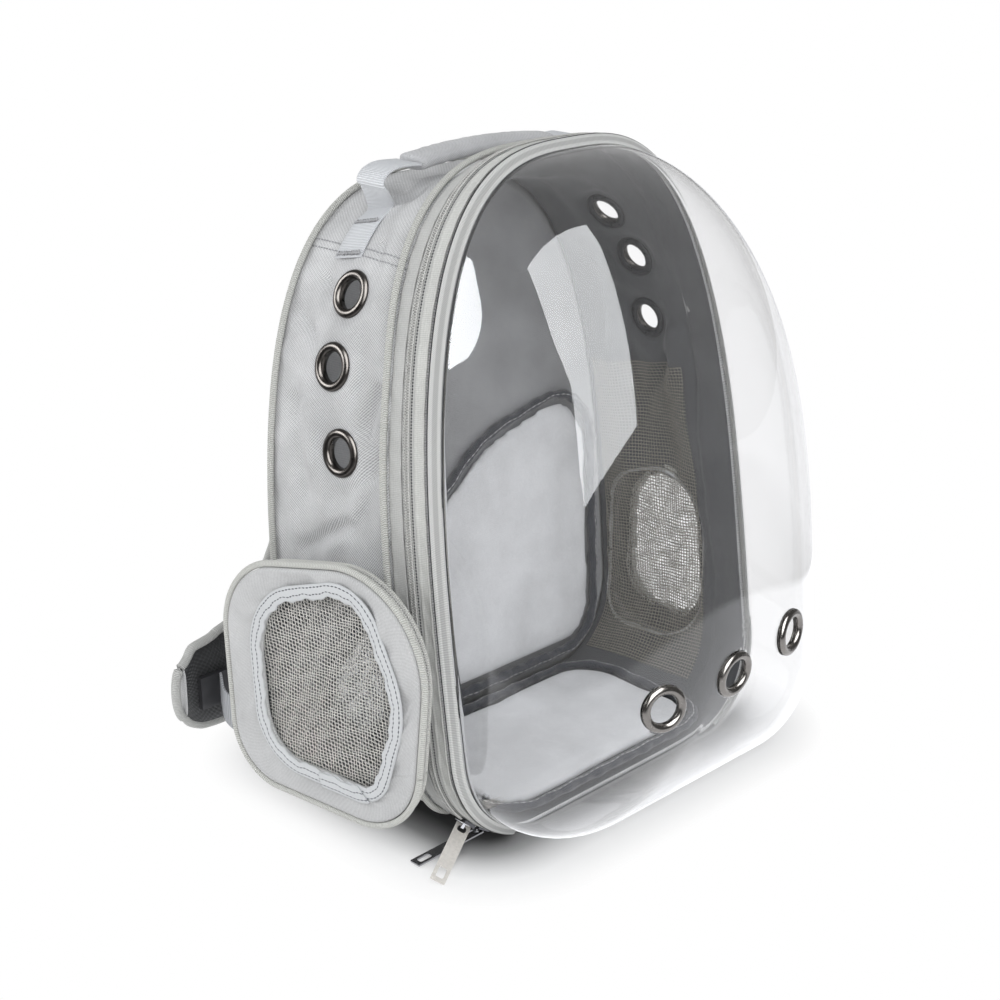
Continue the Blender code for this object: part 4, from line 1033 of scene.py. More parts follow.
def wall_x_at(back, up):
    """Half width of the plain wall outside, by distance from the door plane and height: read on
    the arch from the share whose height on that plane is nearest."""
    table = np.linspace(0.02, 0.48, 240)
    front, rear = front_edge(table), back_edge(table)
    part = (back[:, None] - MIDDLE_Y - front[:, 1]) / (rear[:, 1] - front[:, 1])
    line = front[None] + (rear - front)[None] * part[..., None]
    swell = WALL_SWELL * np.sin(math.pi * np.clip(part, 0.0, 1.0))
    nearest = np.abs(line[..., 2] - up[:, None]).argmin(1)
    row = np.arange(len(back))
    return line[row, nearest, 0] + swell[row, nearest]


def face_x_at(back, side):
    """Half width at a pod's flat face, which turns out a little towards the back."""
    return POD_FACE_X[side] + POD_FACE_TURN[side] * back


def face_ring(outline, grow, lift, side, count=POD_ROUND):
    """A ring on the plane of a pod's face, before it is mirrored to its side."""
    line = rounded_outline(outline[side], count, grow)
    return np.stack([face_x_at(line[:, 0], side) + lift, line[:, 0] - MIDDLE_Y, line[:, 1]], 1)


def pod_ring(out, spread, side):
    """A ring of a pod's wall, between foot and face, before it is mirrored to its side."""
    foot, face = rounded_outline(POD_FOOT, POD_ROUND), rounded_outline(POD_FACE[side], POD_ROUND)
    line = foot + (face - foot) * spread
    return np.stack(
        [pod_wall_x + (face_x_at(line[:, 0], side) - pod_wall_x) * out, line[:, 0] - MIDDLE_Y, line[:, 1]],
        1,
    )


def through(knots, steps):
    """A smooth line through knots, each stretch a cubic whose slopes match its neighbours."""
    knots = np.asarray(knots, float)
    slopes = np.gradient(knots, axis=0)
    part = np.clip(steps * (len(knots) - 1), 0, len(knots) - 1)
    first = np.minimum(part.astype(int), len(knots) - 2)
    t = (part - first)[:, None]
    a, b, m, n = knots[first], knots[first + 1], slopes[first], slopes[first + 1]
    return (
        2 * t**3 - 3 * t**2 + 1
    ) * a + (t**3 - 2 * t**2 + t) * m + (3 * t**2 - 2 * t**3) * b + (t**3 - t**2) * n


def on_side(points, side):
    """The same points on the asked side."""
    return np.asarray(points) * [-1.0 if side == "left" else 1.0, 1.0, 1.0]


def band_between(name, outer, inner, look, side, thick, crown=0.0, ends=False):
    """A band between two lines of points, crowned by a half sine, with U along and V across in
    metres; its inner edge wavers on two sines. It is closed unless it has ends."""
    part = np.linspace(0, 1, 9)
    count = np.arange(len(outer))
    waver = 0.045 * np.sin(count * 2 * math.pi / 8.0) + 0.07 * np.sin(count * 2 * math.pi / 17.8 + 1.0)
    inner = inner + (inner - outer) * waver[:, None]
    points = outer[:, None] + (inner - outer)[:, None] * part[None, :, None]
    points = points + np.array([1.0, 0, 0]) * (crown * np.sin(math.pi * part))[None, :, None]
    travelled = np.concatenate([[0.0], np.cumsum(np.linalg.norm(np.diff(outer, axis=0), axis=1))])
    width = np.linalg.norm(inner - outer, axis=1).mean()
    uv = np.stack(np.broadcast_arrays(travelled[:, None], (part * width)[None]), -1)
    obj = mesh_piece(
        name, on_side(points, side), grid_faces(len(outer), 9, wrap_rows=not ends), look, uv, outwards=False
    )
    obj.data.update()
    if obj.data.polygons[4].normal.x * (-1.0 if side == "left" else 1.0) < 0:
        obj.data.flip_normals()
    return thicken(obj, thick)


foot_line = rounded_outline(POD_FOOT, POD_ROUND)
pod_wall_x = wall_x_at(foot_line[:, 0], foot_line[:, 1])
pod_cloth_look = cloth_look(
    "pod cloth", (0.60, 0.60, 0.60), pitch=0.0013, slant=0.7, groove=0.78, bump=0.4, patchy=0.10
)
tape_ring_look = zipper_look(
    "window webbing", (0.62, 0.63, 0.64), (0.09, 0.095, 0.11), ((0.0022, 0.0006), (0.0070, 0.0006)),
    pitch=0.0034,
)
net_look = plain_look("net strand", (0.66, 0.645, 0.61), rough=0.7, grain=0.25, scale=500.0, bump=0.1)
inner_net_look = dict(
    # painted shade: the left inner net is painted near black for the shade it lies in; the right one keeps
    # its own colour
    left=plain_look("shaded net strand", (0.016, 0.016, 0.015), rough=0.8, grain=0.2, scale=300.0),
    right=plain_look("inner net strand", (0.30, 0.28, 0.235), rough=0.75, grain=0.2, scale=300.0),
)


def strand_net(name, outline, x_at, pitch, wire, look, side, sway=0.00025):
    """A square net on a plane: straight runs both ways, clipped to a convex outline, each a thin
    three-sided wire that sways on a sine over and under its neighbours."""
    points, faces, start = [], [], 0
    for way in (0, 1):
        low, high = outline[:, 1 - way].min(), outline[:, 1 - way].max()
        levels = np.arange(low + pitch / 2, high, pitch)
        loop = np.vstack([outline, outline[:1]])
        before, after = loop[:-1], loop[1:]
        for index, level in enumerate(levels):
            crosses = (before[:, 1 - way] - level) * (after[:, 1 - way] - level) < 0
            if crosses.sum() < 2:
                continue
            a, b = before[crosses], after[crosses]
            hit = a[:, way] + (b - a)[:, way] * (level - a[:, 1 - way]) / (b - a)[:, 1 - way]
            count = max(int((hit.max() - hit.min()) / pitch * 2), 3)
            run = np.linspace(hit.min(), hit.max(), count)
            drift = 0.0011 * np.sin(run * 60 + level * 35) + 0.0005 * np.sin(run * 190 + index)
            place = np.empty((count, 2))
            place[:, way], place[:, 1 - way] = run, level + drift
            depth = sway * np.cos(math.pi * (run / pitch + index)) + 0.0016 * np.sin(
                place[:, 0] * 55 + place[:, 1] * 38
            )
            half_wide, half_deep = wire, wire * 0.6
            corner = np.zeros((count, 3, 3))
            corner[:, :, 0] = x_at(
                place[:, 0]
            )[:, None] + depth[:, None] + np.array([1, -1, -1]) * half_deep
            corner[:, :, 1] = place[:, 0][:, None] - MIDDLE_Y
            corner[:, :, 2] = place[:, 1][:, None]
            corner[:, :, 2 - way if way == 0 else 1] += np.array([0, 1, -1]) * half_wide
            points.append(corner.reshape(-1, 3))
            faces.append(grid_faces(count, 3, wrap_cols=True) + start)
            start += count * 3
    return mesh_piece(name, on_side(np.vstack(points), side), np.vstack(faces), look)


def wall_net(name, look, side, pitch=0.0025, wire=0.00034):
    """The net sewn inside the wall over the pod's opening: straight runs along and across the wall,
    from near the base to above the pod, each a three-sided wire held just off the lining."""
    points, faces, start = [], [], 0
    low, high, front, rear = 0.105, dict(left=0.280, right=0.298)[side], 0.044, 0.168
    for way in (0, 1):
        span = (high - low) * OUTLINE_LENGTH if way else rear - front
        levels = np.arange(pitch / 2, span, pitch)
        length = rear - front if way else (high - low) * OUTLINE_LENGTH
        run = np.arange(0, length, pitch)
        drift = 0.0012 * np.sin(
            run[None] * 42 + levels[:, None] * 31
        ) + 0.0006 * np.sin(run[None] * 97 + levels[:, None] * 70)
        along = (levels[:, None] + drift if way else run[None] + 0 * drift) / OUTLINE_LENGTH + low
        back = run[None] + front + 0 * drift if way else levels[:, None] + front + drift
        weave = 0.0002 * np.cos(math.pi * run / pitch)[None] * (1 if way else -1) + 0 * drift
        along = 1 - along if side == "left" else along
        back = np.minimum(back, wall_depth(along) - 0.008)
        centre = wall_point(along, back, weave - WALL_THICK - 0.0012, creased=1.0)
        up = wall_normal(along, back)
        ahead = np.gradient(centre, axis=1)
        side_way = np.cross(ahead / np.linalg.norm(ahead, axis=-1, keepdims=True), up)
        corner = np.stack([centre - up * wire, centre + side_way * wire, centre - side_way * wire], 2)
        grid = grid_faces(len(run), 3, wrap_cols=True)
        each = grid[None] + (np.arange(len(levels)) * len(run) * 3)[:, None, None] + start
        points.append(corner.reshape(-1, 3))
        faces.append(each.reshape(-1, 4))
        start += corner.size // 3
    return mesh_piece(name, np.vstack(points), np.vstack(faces), look)


for side in ("left", "right"):
    steps = np.linspace(0, 1, 30)
    knots = np.stack([pod_ring(out, spread, side) for out, spread in POD_STEPS], 0)
    wall_rings = through(knots.reshape(len(POD_STEPS), -1), steps).reshape(len(steps), POD_ROUND, 3)
    face_line, window_line = face_ring(POD_FACE, -0.002, 0.0, side), face_ring(POD_WINDOW, 0.0, 0.0, side)
    margin = np.linspace(0, 1, 12)[1:, None, None]
    face_rings = face_line[None] + (window_line - face_line)[None] * margin
    rings = np.concatenate(
        [wall_rings[:-1], face_line[None] + 0 * face_line, face_rings], 0
    ).transpose(1, 0, 2)
    ahead = np.gradient(rings, axis=1)
    along = np.roll(rings, -1, 0) - np.roll(rings, 1, 0)
    out = np.cross(along, ahead)
    out = out / np.maximum(np.linalg.norm(out, axis=-1, keepdims=True), 1e-9)
    centre = rings.mean((0, 1))
    out = out * np.where((out * (rings - centre)).sum(-1).mean() < 0, -1, 1)
    travelled = np.cumsum(np.linalg.norm(np.diff(rings, axis=1, prepend=rings[:, :1]), axis=-1), 1)
    around = np.linspace(0, 0.62, POD_ROUND)[:, None] * np.ones(rings.shape[1])
    corner = np.abs(travelled - travelled[:, len(steps) - 2][:, None])
    held = np.clip(np.minimum(np.minimum(travelled, travelled[:, -1:] - travelled), corner) / 0.016, 0, 1)
    held = held * held * (3 - 2 * held)
    crease = 0.0009 * np.sin(around * 68 + travelled * 60) + 0.0007 * np.sin(around * 131 + travelled * 150)
    crease = crease + 0.0005 * np.sin(around * 263 + 2 * np.sin(travelled * 190))
    rings = rings + out * (held * (crease - 0.0004))[..., None]
    uv = np.stack([around, travelled], -1)
    pod = mesh_piece(
        "pod_cloth_" + side, on_side(rings, side), grid_faces(POD_ROUND, rings.shape[1], wrap_rows=True),
        [pod_cloth_look, lining], uv, outwards=False,
    )
    pod.data.update()
    face = pod.data.polygons[rings.shape[1] - 3]
    if face.normal.x * (-1.0 if side == "left" else 1.0) < 0:
        pod.data.flip_normals()
    thicken(pod, POD_WALL, inside=1)
    dress(pod, "oxford_cloth", "pod_shell_" + side)
    cord_line = face_ring(POD_FACE, PIPING + 0.0003, -PIPING, side, 560)
    pod_cord = cord_piece("pod_cord_" + side, on_side(cord_line, side), PIPING, cord_cream)
    dress(pod_cord, "cord_piping", "pod_piping_" + side)
    for label, out, spread in (("foot", 0.10, 0.0), ("rear", 0.55, 0.92)):
        seam_line = pod_ring(out, spread, side)
        foot_middle = seam_line.mean(0)
        apart = seam_line - foot_middle
        grown = 1 + 0.0020 / np.linalg.norm(apart[:, 1:], axis=1)
        seam_line = foot_middle + apart * grown[:, None] * [0, 1, 1] + apart * [1, 0, 0]
        seam_cord = cord_piece(
            "pod_%s_cord_%s" % (label, side), on_side(seam_line, side), 0.0017, cord_cream
        )
        dress(seam_cord, "cord_piping")
    ring_tape = band_between(
        "window_webbing_" + side, face_ring(POD_WINDOW, 0.009, 0.0015, side),
        face_ring(POD_WINDOW, -0.001, 0.0015, side), tape_ring_look, side, 0.0012, crown=0.0006,
    )
    dress(ring_tape, "webbing", "window_tape_" + side)
    span = slice(18, 48)
    lap = band_between(
        "window_lap_" + side, face_ring(POD_WINDOW, 0.0096, 0.0029, side)[span],
        face_ring(POD_WINDOW, -0.0004, 0.0029, side)[span], tape_ring_look, side, 0.0011, crown=0.0004,
        ends=True,
    )
    dress(lap, "webbing")
    window = rounded_outline(POD_WINDOW[side], 200, 0.003)
    net = strand_net(
        "pod_net_strands_" + side, window, lambda back: face_x_at(back, side) - POD_WALL - 0.0012, 0.0024,
        0.00040, net_look, side,
    )
    dress(net, "net_mesh", "pod_net_" + side)
    dress(
        wall_net("inner_net_strands_" + side, inner_net_look[side], side), "net_mesh", "inner_net_" + side
    )
    low_step, high_step = POD_ZIPPER_STEPS[side]
    low_ring, high_ring = pod_ring(*low_step, side), pod_ring(*high_step, side)
    order = np.arange(int(0.72 * POD_ROUND), int(1.13 * POD_ROUND)) % POD_ROUND
    lows, highs = low_ring[order], high_ring[order]
    out = np.cross(np.gradient(lows, axis=0), highs - lows)
    out = out / np.linalg.norm(out, axis=1, keepdims=True)
    out = out * np.sign((out * (lows - foot_middle)).sum(1))[:, None]
    starts, ends = lows, highs
    across = np.linspace(0, 1, 11)[None, :, None]
    strip = starts[:, None] + (ends - starts)[:, None] * across + out[:, None] * 0.0016
    travelled = np.concatenate([[0.0], np.cumsum(np.linalg.norm(np.diff(starts, axis=0), axis=1))])
    uv = np.stack(np.broadcast_arrays(travelled[:, None], across[..., 0] * 0.0097), -1)
    zip_strip = mesh_piece(
        "pod_zipper_tape_" + side, on_side(strip, side), grid_faces(len(order), 11), tape_look, uv,
        outwards=False,
    )
    zip_strip.data.update()
    face = zip_strip.data.polygons[5]
    if Vector(face.normal).dot(Vector(on_side(out[0], side))) < 0:
        zip_strip.data.flip_normals()
    thicken(zip_strip, 0.0011)
    dress(zip_strip, "zipper_tape", "pod_zipper_" + side)

    def on_pod(along, across, lift, starts=starts, ends=ends, out=out, travelled=travelled, side=side):
        """A place on the pod's zipper: along and across the tape, and out from it."""
        base = np.stack([np.interp(along, travelled, starts[:, k]) for k in range(3)], -1)
        tip = np.stack([np.interp(along, travelled, ends[:, k]) for k in range(3)], -1)
        away = np.stack([np.interp(along, travelled, out[:, k]) for k in range(3)], -1)
        width = np.linalg.norm(tip - base, axis=-1, keepdims=True)
        return on_side(
            base + (tip - base) / width * (
                across[..., None] + width / 2
            ) + away * (lift[..., None] + 0.0016),
            side,
        )

    count = int((travelled[-1] - 0.004) / 0.0016)
    pod_teeth = coil_piece("pod_teeth_" + side, on_pod, 0.002, travelled[-1] - 0.002, 0.0, count, coil_look)
    dress(pod_teeth, "zipper_tape")

# The pads inside: a light grey board pad against the back, and one on the floor, soft foam under
# thin cloth, each bound all round with dark folded tape and fine white stitches.
BACK_PAD = (
    (-0.128, 0.024, 0.030), (0.128, 0.024, 0.030), (0.134, 0.224, 0.035), (0.024, 0.200, 0.100),
    (-0.128, 0.074, 0.025),
)
FLOOR_PAD = ((-0.100, 0.014, 0.030), (0.100, 0.014, 0.030), (0.104, 0.134, 0.030), (-0.104, 0.134, 0.030))
PAD_THICK = 0.008


def pad_piece(name, corners, centre, place, look, thick, count=240, rows=26):
    """A crowned pad: rings of its outline drawn in towards a centre, each side of the middle plane
    lifted by a root curve that is full inside and closes at the edge, with slow lumps."""
    line = rounded_outline(corners, count)
    reach = np.linspace(0, 1, rows)[None, :]
    first = line[:, 0, None] + (centre[0] - line[:, 0, None]) * reach
    second = line[:, 1, None] + (centre[1] - line[:, 1, None]) * reach
    full = np.clip(reach * 9, 0, 1)
    full = np.sqrt(1 - (1 - full) ** 2)
    lumps = 1 + 0.10 * np.sin(first * 70 + 2 * np.sin(second * 33)) * np.sin(second * 62 + 0.7)
    lumps = lumps * (1 - 0.12 * np.exp(-((reach - 0.13) / 0.04) ** 2))
    faces, points = grid_faces(count, 2 * rows, wrap_rows=True), []
    for way in (1.0, -1.0):
        points.append(place(first, second, 0.5 * thick * (1 + way * full * (lumps if way > 0 else 0.97))))
    both = np.stack([points[0], points[1][:, ::-1]], 1).reshape(count, -1, 3)
    obj = mesh_piece(
        name, both, faces, look,
        np.stack([np.hstack([first, first[:, ::-1]]), np.hstack([second, second[:, ::-1]])], -1),
    )
    work = bmesh.new()
    work.from_mesh(obj.data)
    bmesh.ops.remove_doubles(work, verts=work.verts, dist=0.00002)
    bmesh.ops.holes_fill(work, edges=[e for e in work.edges if e.is_boundary], sides=0)
    bmesh.ops.recalc_face_normals(work, faces=work.faces)
    work.to_mesh(obj.data)
    work.free()
    return obj


def edging_piece(name, corners, place, look, wide, deep, count=420):
    """The binding of a pad: a flattened round tube along its outline, wavy in width and lift."""
    line = rounded_outline(corners, count, 0.0045)
    inward = -rounded_outline(corners, count, 1.0) + rounded_outline(corners, count, 0.0)
    inward = inward / np.linalg.norm(inward, axis=1, keepdims=True)
    turn = 2 * math.pi * np.arange(14) / 14
    step = np.arange(count)
    travelled = step * np.linalg.norm(line[1] - line[0])
    wavy = 1 + 0.16 * np.sin(travelled * 420) + 0.12 * np.sin(travelled * 173 + 1.0)
    across = np.cos(turn)[None, :] * (wide * wavy)[:, None]
    height = 0.5 * PAD_THICK + np.sin(turn)[None, :] * deep * (1 + 0.15 * np.sin(travelled * 251))[:, None]
    first = line[:, 0, None] + inward[:, 0, None] * across
    second = line[:, 1, None] + inward[:, 1, None] * across
    uv = np.stack(np.broadcast_arrays(travelled[:, None], turn[None] * wide), -1)
    return mesh_piece(
        name, place(first, second, height), grid_faces(count, 14, wrap_rows=True, wrap_cols=True), look, uv
    )


def stitch_look(name, colour, thread, pitch, at, half):
    """Dark binding cloth from its UV map in metres, with a row of thread dashes where the sine of
    the length is high, at a distance across."""
    look = zipper_look(name, colour, thread, ((at, half),), pitch)
    look.node_tree.nodes["Principled BSDF"].inputs["Sheen Weight"].default_value = 0.3
    return look


def puffed(obj, voxel, cap):
    """The pad blown up as cloth: a copy remeshed to a voxel size, 20 steps of pressure without
    gravity, each point's travel held to a cap; its UV map is then its two widest directions."""
    mesher = obj.modifiers.new("voxels", "REMESH")
    mesher.mode, mesher.voxel_size = "VOXEL", voxel
    graph = bpy.context.evaluated_depsgraph_get()
    fine = bpy.data.meshes.new_from_object(obj.evaluated_get(graph))
    obj.modifiers.clear()
    look = obj.data.materials[0]
    obj.data = fine
    obj.data.materials.clear()
    obj.data.materials.append(look)
    before = np.empty(len(fine.vertices) * 3, np.float32)
    fine.vertices.foreach_get("co", before)
    cloth = obj.modifiers.new("cloth", "CLOTH")
    cloth.settings.use_pressure = True
    cloth.settings.uniform_pressure_force = 4.0
    cloth.settings.effector_weights.gravity = 0.0
    cloth.settings.quality = 5
    cloth.point_cache.frame_start, cloth.point_cache.frame_end = 1, 20
    for number in range(1, 21):
        bpy.context.scene.frame_set(number)
    graph = bpy.context.evaluated_depsgraph_get()
    blown = obj.evaluated_get(graph).to_mesh()
    after = np.empty_like(before)
    blown.vertices.foreach_get("co", after)
    obj.evaluated_get(graph).to_mesh_clear()
    obj.modifiers.clear()
    bpy.context.scene.frame_set(1)
    before, after = before.reshape(-1, 3), after.reshape(-1, 3)
    moved = after - before
    far = np.linalg.norm(moved, axis=1, keepdims=True)
    after = before + moved * np.minimum(1.0, cap / np.maximum(far, 1e-9))
    fine.vertices.foreach_set("co", after.ravel())
    wide = np.argsort(after.max(0) - after.min(0))[1:]
    ends = np.empty(len(fine.loops), np.int32)
    fine.loops.foreach_get("vertex_index", ends)
    layer = fine.uv_layers.new(name="UVMap")
    layer.data.foreach_set("uv", after[ends][:, np.sort(wide)].ravel())
    fine.polygons.foreach_set("use_smooth", np.ones(len(fine.polygons), bool))
    fine.update()
    smoother = obj.modifiers.new("smoother", "SUBSURF")
    smoother.levels = smoother.render_levels = 1
    return obj


def against_back(first, second, height):
    """A place on the back pad: across, up, and out from the panel."""
    return panel_frame(first, second, 0.0063 + height)


def on_floor(first, second, height):
    """A place on the floor pad: across, back from the door plane, and up from its underside."""
    first, second, height = np.broadcast_arrays(first, second, height)
    return np.stack([first, second - MIDDLE_Y, 0.0098 + height], -1)


pad_cloth = cloth_look(
    "pad cloth", (0.74, 0.745, 0.76), pitch=0.0008, slant=0.5, groove=0.85, bump=0.25, patchy=0.14
)
pad_binding = stitch_look(
    "pad binding", (0.022, 0.024, 0.033), (0.50, 0.50, 0.50), pitch=0.0052, at=0.0068, half=0.0005
)
back_pad = puffed(
    pad_piece("back_pad_cushion", BACK_PAD, (0.03, 0.10), against_back, pad_cloth, PAD_THICK - 0.001),
    0.004, 0.0016,
)
dress(back_pad, "pale_pad", "back_pad")
floor_pad = puffed(
    pad_piece("floor_pad_cushion", FLOOR_PAD, (0.0, 0.074), on_floor, pad_cloth, PAD_THICK - 0.001), 0.004,
    0.0016,
)
dress(floor_pad, "pale_pad", "floor_pad")
back_edging = edging_piece("back_pad_binding", BACK_PAD, against_back, pad_binding, 0.0038, 0.0034)
dress(back_edging, "dark_binding", "back_pad_edging")
floor_edging = edging_piece("floor_pad_binding", FLOOR_PAD, on_floor, pad_binding, 0.0038, 0.0034)
dress(floor_edging, "dark_binding", "floor_pad_edging")

# The carry handle: a padded cloth sleeve over ribbed webbing that comes out at both ends, folds
# back in an S, and is sewn flat to the wall with two bar tacks.
HANDLE_Y = 0.140 - MIDDLE_Y
GRIP_HALF = 0.062
grip_parts = np.linspace(-1, 1, 90)
turn = 2 * math.pi * np.arange(40) / 40
closing = np.sqrt(np.clip(1 - np.clip((np.abs(grip_parts) - 0.94) / 0.06, 0, 1) ** 2, 0.0, 1))
wrinkle = 1 + 0.035 * np.sin(
    grip_parts * 33 + 1.5 * np.sin(grip_parts * 11)
)[:, None] * np.sin(turn * 2 + 0.6)[None]
across = np.broadcast_to((GRIP_HALF * grip_parts)[:, None], (90, 40))
round_y = np.sign(np.cos(turn)) * np.abs(np.cos(turn)) ** 0.75
round_z = np.sign(np.sin(turn)) * np.abs(np.sin(turn)) ** 0.75
grip = np.stack([
    across,
    HANDLE_Y + 0.0122 * round_y[None] * closing[:, None] * wrinkle,
    (
        0.4185 - 0.0040 * grip_parts**2
    )[:, None] + 0.0050 * round_z[None] * (0.45 + 0.55 * closing)[:, None] * wrinkle,
], -1)
uv = np.stack(np.broadcast_arrays((GRIP_HALF * grip_parts)[:, None], (turn * 0.009)[None]), -1)
sleeve_look = cloth_look(
    "handle sleeve cloth", (0.60, 0.60, 0.61), pitch=0.0012, slant=0.7, groove=0.75, bump=0.45, patchy=0.10
)
grip_sleeve = mesh_piece("handle_sleeve", grip, grid_faces(90, 40, wrap_cols=True), sleeve_look, uv)
work = bmesh.new()
work.from_mesh(grip_sleeve.data)
bmesh.ops.holes_fill(work, edges=[e for e in work.edges if e.is_boundary], sides=0)
bmesh.ops.recalc_face_normals(work, faces=work.faces)
work.to_mesh(grip_sleeve.data)
work.free()
dress(grip_sleeve, "handle_padding", "handle_grip")


def webbing_look(name, colour, rib, dark):
    """Webbing from its UV map in metres: ribs across it from a sine of its length, with a flatter
    woven selvedge along both edges."""
    look = bpy.data.materials.new(name)
    look.use_nodes = True
    tree = look.node_tree
    shader = tree.nodes["Principled BSDF"]
    parts = link(tree, "ShaderNodeSeparateXYZ", Vector=link(tree, "ShaderNodeUVMap").outputs[0])
    angle = link(
        tree, "ShaderNodeMath", operation="MULTIPLY", in_0=parts.outputs[0], in_1=2 * math.pi / rib
    )
    wave = link(tree, "ShaderNodeMath", operation="SINE", in_0=angle.outputs[0])
    side = link(
        tree, "ShaderNodeMath", operation="MULTIPLY", in_0=parts.outputs[1], in_1=2 * math.pi / 0.0011
    )
    weave = link(tree, "ShaderNodeMath", operation="SINE", in_0=side.outputs[0])
    both = link(
        tree, "ShaderNodeMath", operation="MULTIPLY_ADD", in_0=weave.outputs[0], in_1=0.3,
        in_2=wave.outputs[0],
    )
    place = link(tree, "ShaderNodeTexCoord")
    slow = link(tree, "ShaderNodeTexNoise", Vector=place.outputs["Object"], Scale=60.0, Detail=4.0)
    mixed = link(
        tree, "ShaderNodeMath", operation="MULTIPLY_ADD", in_0=slow.outputs["Fac"], in_1=1.2,
        in_2=both.outputs[0],
    )
    shade = link(
        tree, "ShaderNodeMapRange", in_0=mixed.outputs[0], in_1=-0.7, in_2=1.7, in_3=dark, in_4=1.05
    )
    tone = link(tree, "ShaderNodeVectorMath", operation="SCALE", in_0=colour, in_3=shade.outputs[0])
    tree.links.new(tone.outputs[0], shader.inputs["Base Color"])
    height = link(tree, "ShaderNodeBump", Strength=0.7, Distance=0.0004, Height=both.outputs[0])
    tree.links.new(height.outputs[0], shader.inputs["Normal"])
    shader.inputs["Roughness"].default_value = 0.8
    return look


def strap_line(knots, spread, count):
    """A smooth line through knots and the smooth unit directions of its width."""
    steps = np.linspace(0, 1, count)
    line = through(knots, steps)
    wide = through(spread, steps)
    return line, wide / np.linalg.norm(wide, axis=1, keepdims=True)


def webbing_piece(name, knots, spread, width, thick, look, side, count=120, inside=0.0):
    """Flat webbing: a rounded flat section carried along a line, its width in a given direction."""
    line, wide = strap_line(knots, spread, count)
    ahead = np.gradient(line, axis=0)
    out = np.cross(ahead, wide)
    out = out / np.linalg.norm(out, axis=1, keepdims=True)
    half, round_off = width / 2, thick / 2
    profile = np.array([
        (-half, 0.5), (
            -half + 0.3 * round_off, 0.12
        ), (-half + round_off, 0), (-half / 2, 0), (0, 0), (half / 2, 0), (half - round_off, 0),
        (
            half - 0.3 * round_off, 0.12
        ), (half, 0.5), (half - 0.3 * round_off, 0.88), (half - round_off, 1), (half / 2, 1), (0, 1),
        (-half / 2, 1), (-half + round_off, 1), (-half + 0.3 * round_off, 0.88),
    ])
    points = line[:, None] + wide[:, None] * profile[None, :, 0, None] + out[:, None] * (
        profile[None, :, 1, None] * thick + inside
    )
    travelled = np.concatenate([[0.0], np.cumsum(np.linalg.norm(np.diff(line, axis=0), axis=1))])
    uv = np.stack(np.broadcast_arrays(travelled[:, None], profile[None, :, 0] + half), -1)
    obj = mesh_piece(name, on_side(points, side), grid_faces(count, len(profile), wrap_cols=True), look, uv)
    work = bmesh.new()
    work.from_mesh(obj.data)
    bmesh.ops.holes_fill(work, edges=[e for e in work.edges if e.is_boundary], sides=0)
    bmesh.ops.recalc_face_normals(work, faces=work.faces)
    work.to_mesh(obj.data)
    work.free()
    return obj


handle_web_look = webbing_look("handle webbing", (0.80, 0.815, 0.84), rib=0.0012, dark=0.72)
HANDLE_LOOP = ((0.0624, 0.4142), (0.0800, 0.4150), (0.0905, 0.4118), (0.0940, 0.4066), (0.0905, 0.4022))
SEWN = dict(left=(0.4300, 0.4190, 0.4080, 0.3970), right=(0.4300, 0.4225, 0.4150))
tack_look = plain_look("bar tack thread", (0.36, 0.36, 0.37), rough=0.7, grain=0.25, scale=900.0)
for side in ("left", "right"):
    knots = [(x, HANDLE_Y, z) for x, z in HANDLE_LOOP]
    spread = [(0.0, 1.0, 0.0)] * len(knots)
    for share in SEWN[side]:
        knots.append(tuple(wall_point(share, 0.088, 0.001)))
        span = back_edge(np.array(share)) - front_edge(np.array(share))
        spread.append(tuple(span / np.linalg.norm(span)))
    web = webbing_piece("handle_web_" + side, knots, spread, 0.025, 0.0016, handle_web_look, side)
    dress(web, "webbing", "handle_webbing_" + side)
    if side == "left":
        for index, share in enumerate((0.4185, 0.3990)):
            spots = np.stack(
                [
                    wall_point(
                        share + 0.0009 * np.sin(back * 2600), back, 0.0030
                    ) for back in np.linspace(0.0768, 0.0992, 60)
                ]
            )
            tack = cord_piece(
                "bar_tack_%d" % (index + 1), on_side(spots, side), 0.00075, tack_look, sides=6, closed=False
            )
            dress(tack, "webbing")

# The shoulder straps: padded, oxford cloth outside and black air mesh inside, bound in pale tape.
# They are sewn into the back's top seam; below, webbing runs through a plain adjuster to the base.
STRAP_LINE = (
    (
        0.044, 0.1936, 0.372, 0.046
    ), (0.045, 0.1970, 0.352, 0.050), (0.050, 0.209, 0.300, 0.062), (0.060, 0.222, 0.230, 0.066),
    (
        0.071, 0.230, 0.165, 0.068
    ), (0.088, 0.237, 0.110, 0.069), (0.117, 0.241, 0.070, 0.070), (0.150, 0.242, 0.055, 0.070),
    (0.178, 0.241, 0.053, 0.062), (0.190, 0.240, 0.053, 0.040),
)
LOWER_WEB = (
    (0.1650, 0.2314, 0.050), (0.1700, 0.2180, 0.041), (0.1620, 0.1960, 0.032), (0.1450, 0.1760, 0.029),
    (0.1260, 0.1634, 0.030),
)
mesh_black = cloth_look(
    "black air mesh", (0.016, 0.017, 0.019), pitch=0.0022, slant=0.8, groove=0.25, rough=0.6, bump=0.9,
    patchy=0.2, sheen=0.4,
)
strap_binding = webbing_look("strap binding", (0.62, 0.62, 0.60), rib=0.0012, dark=0.7)
lower_web_look = webbing_look("lower webbing", (0.60, 0.615, 0.64), rib=0.0019, dark=0.55)
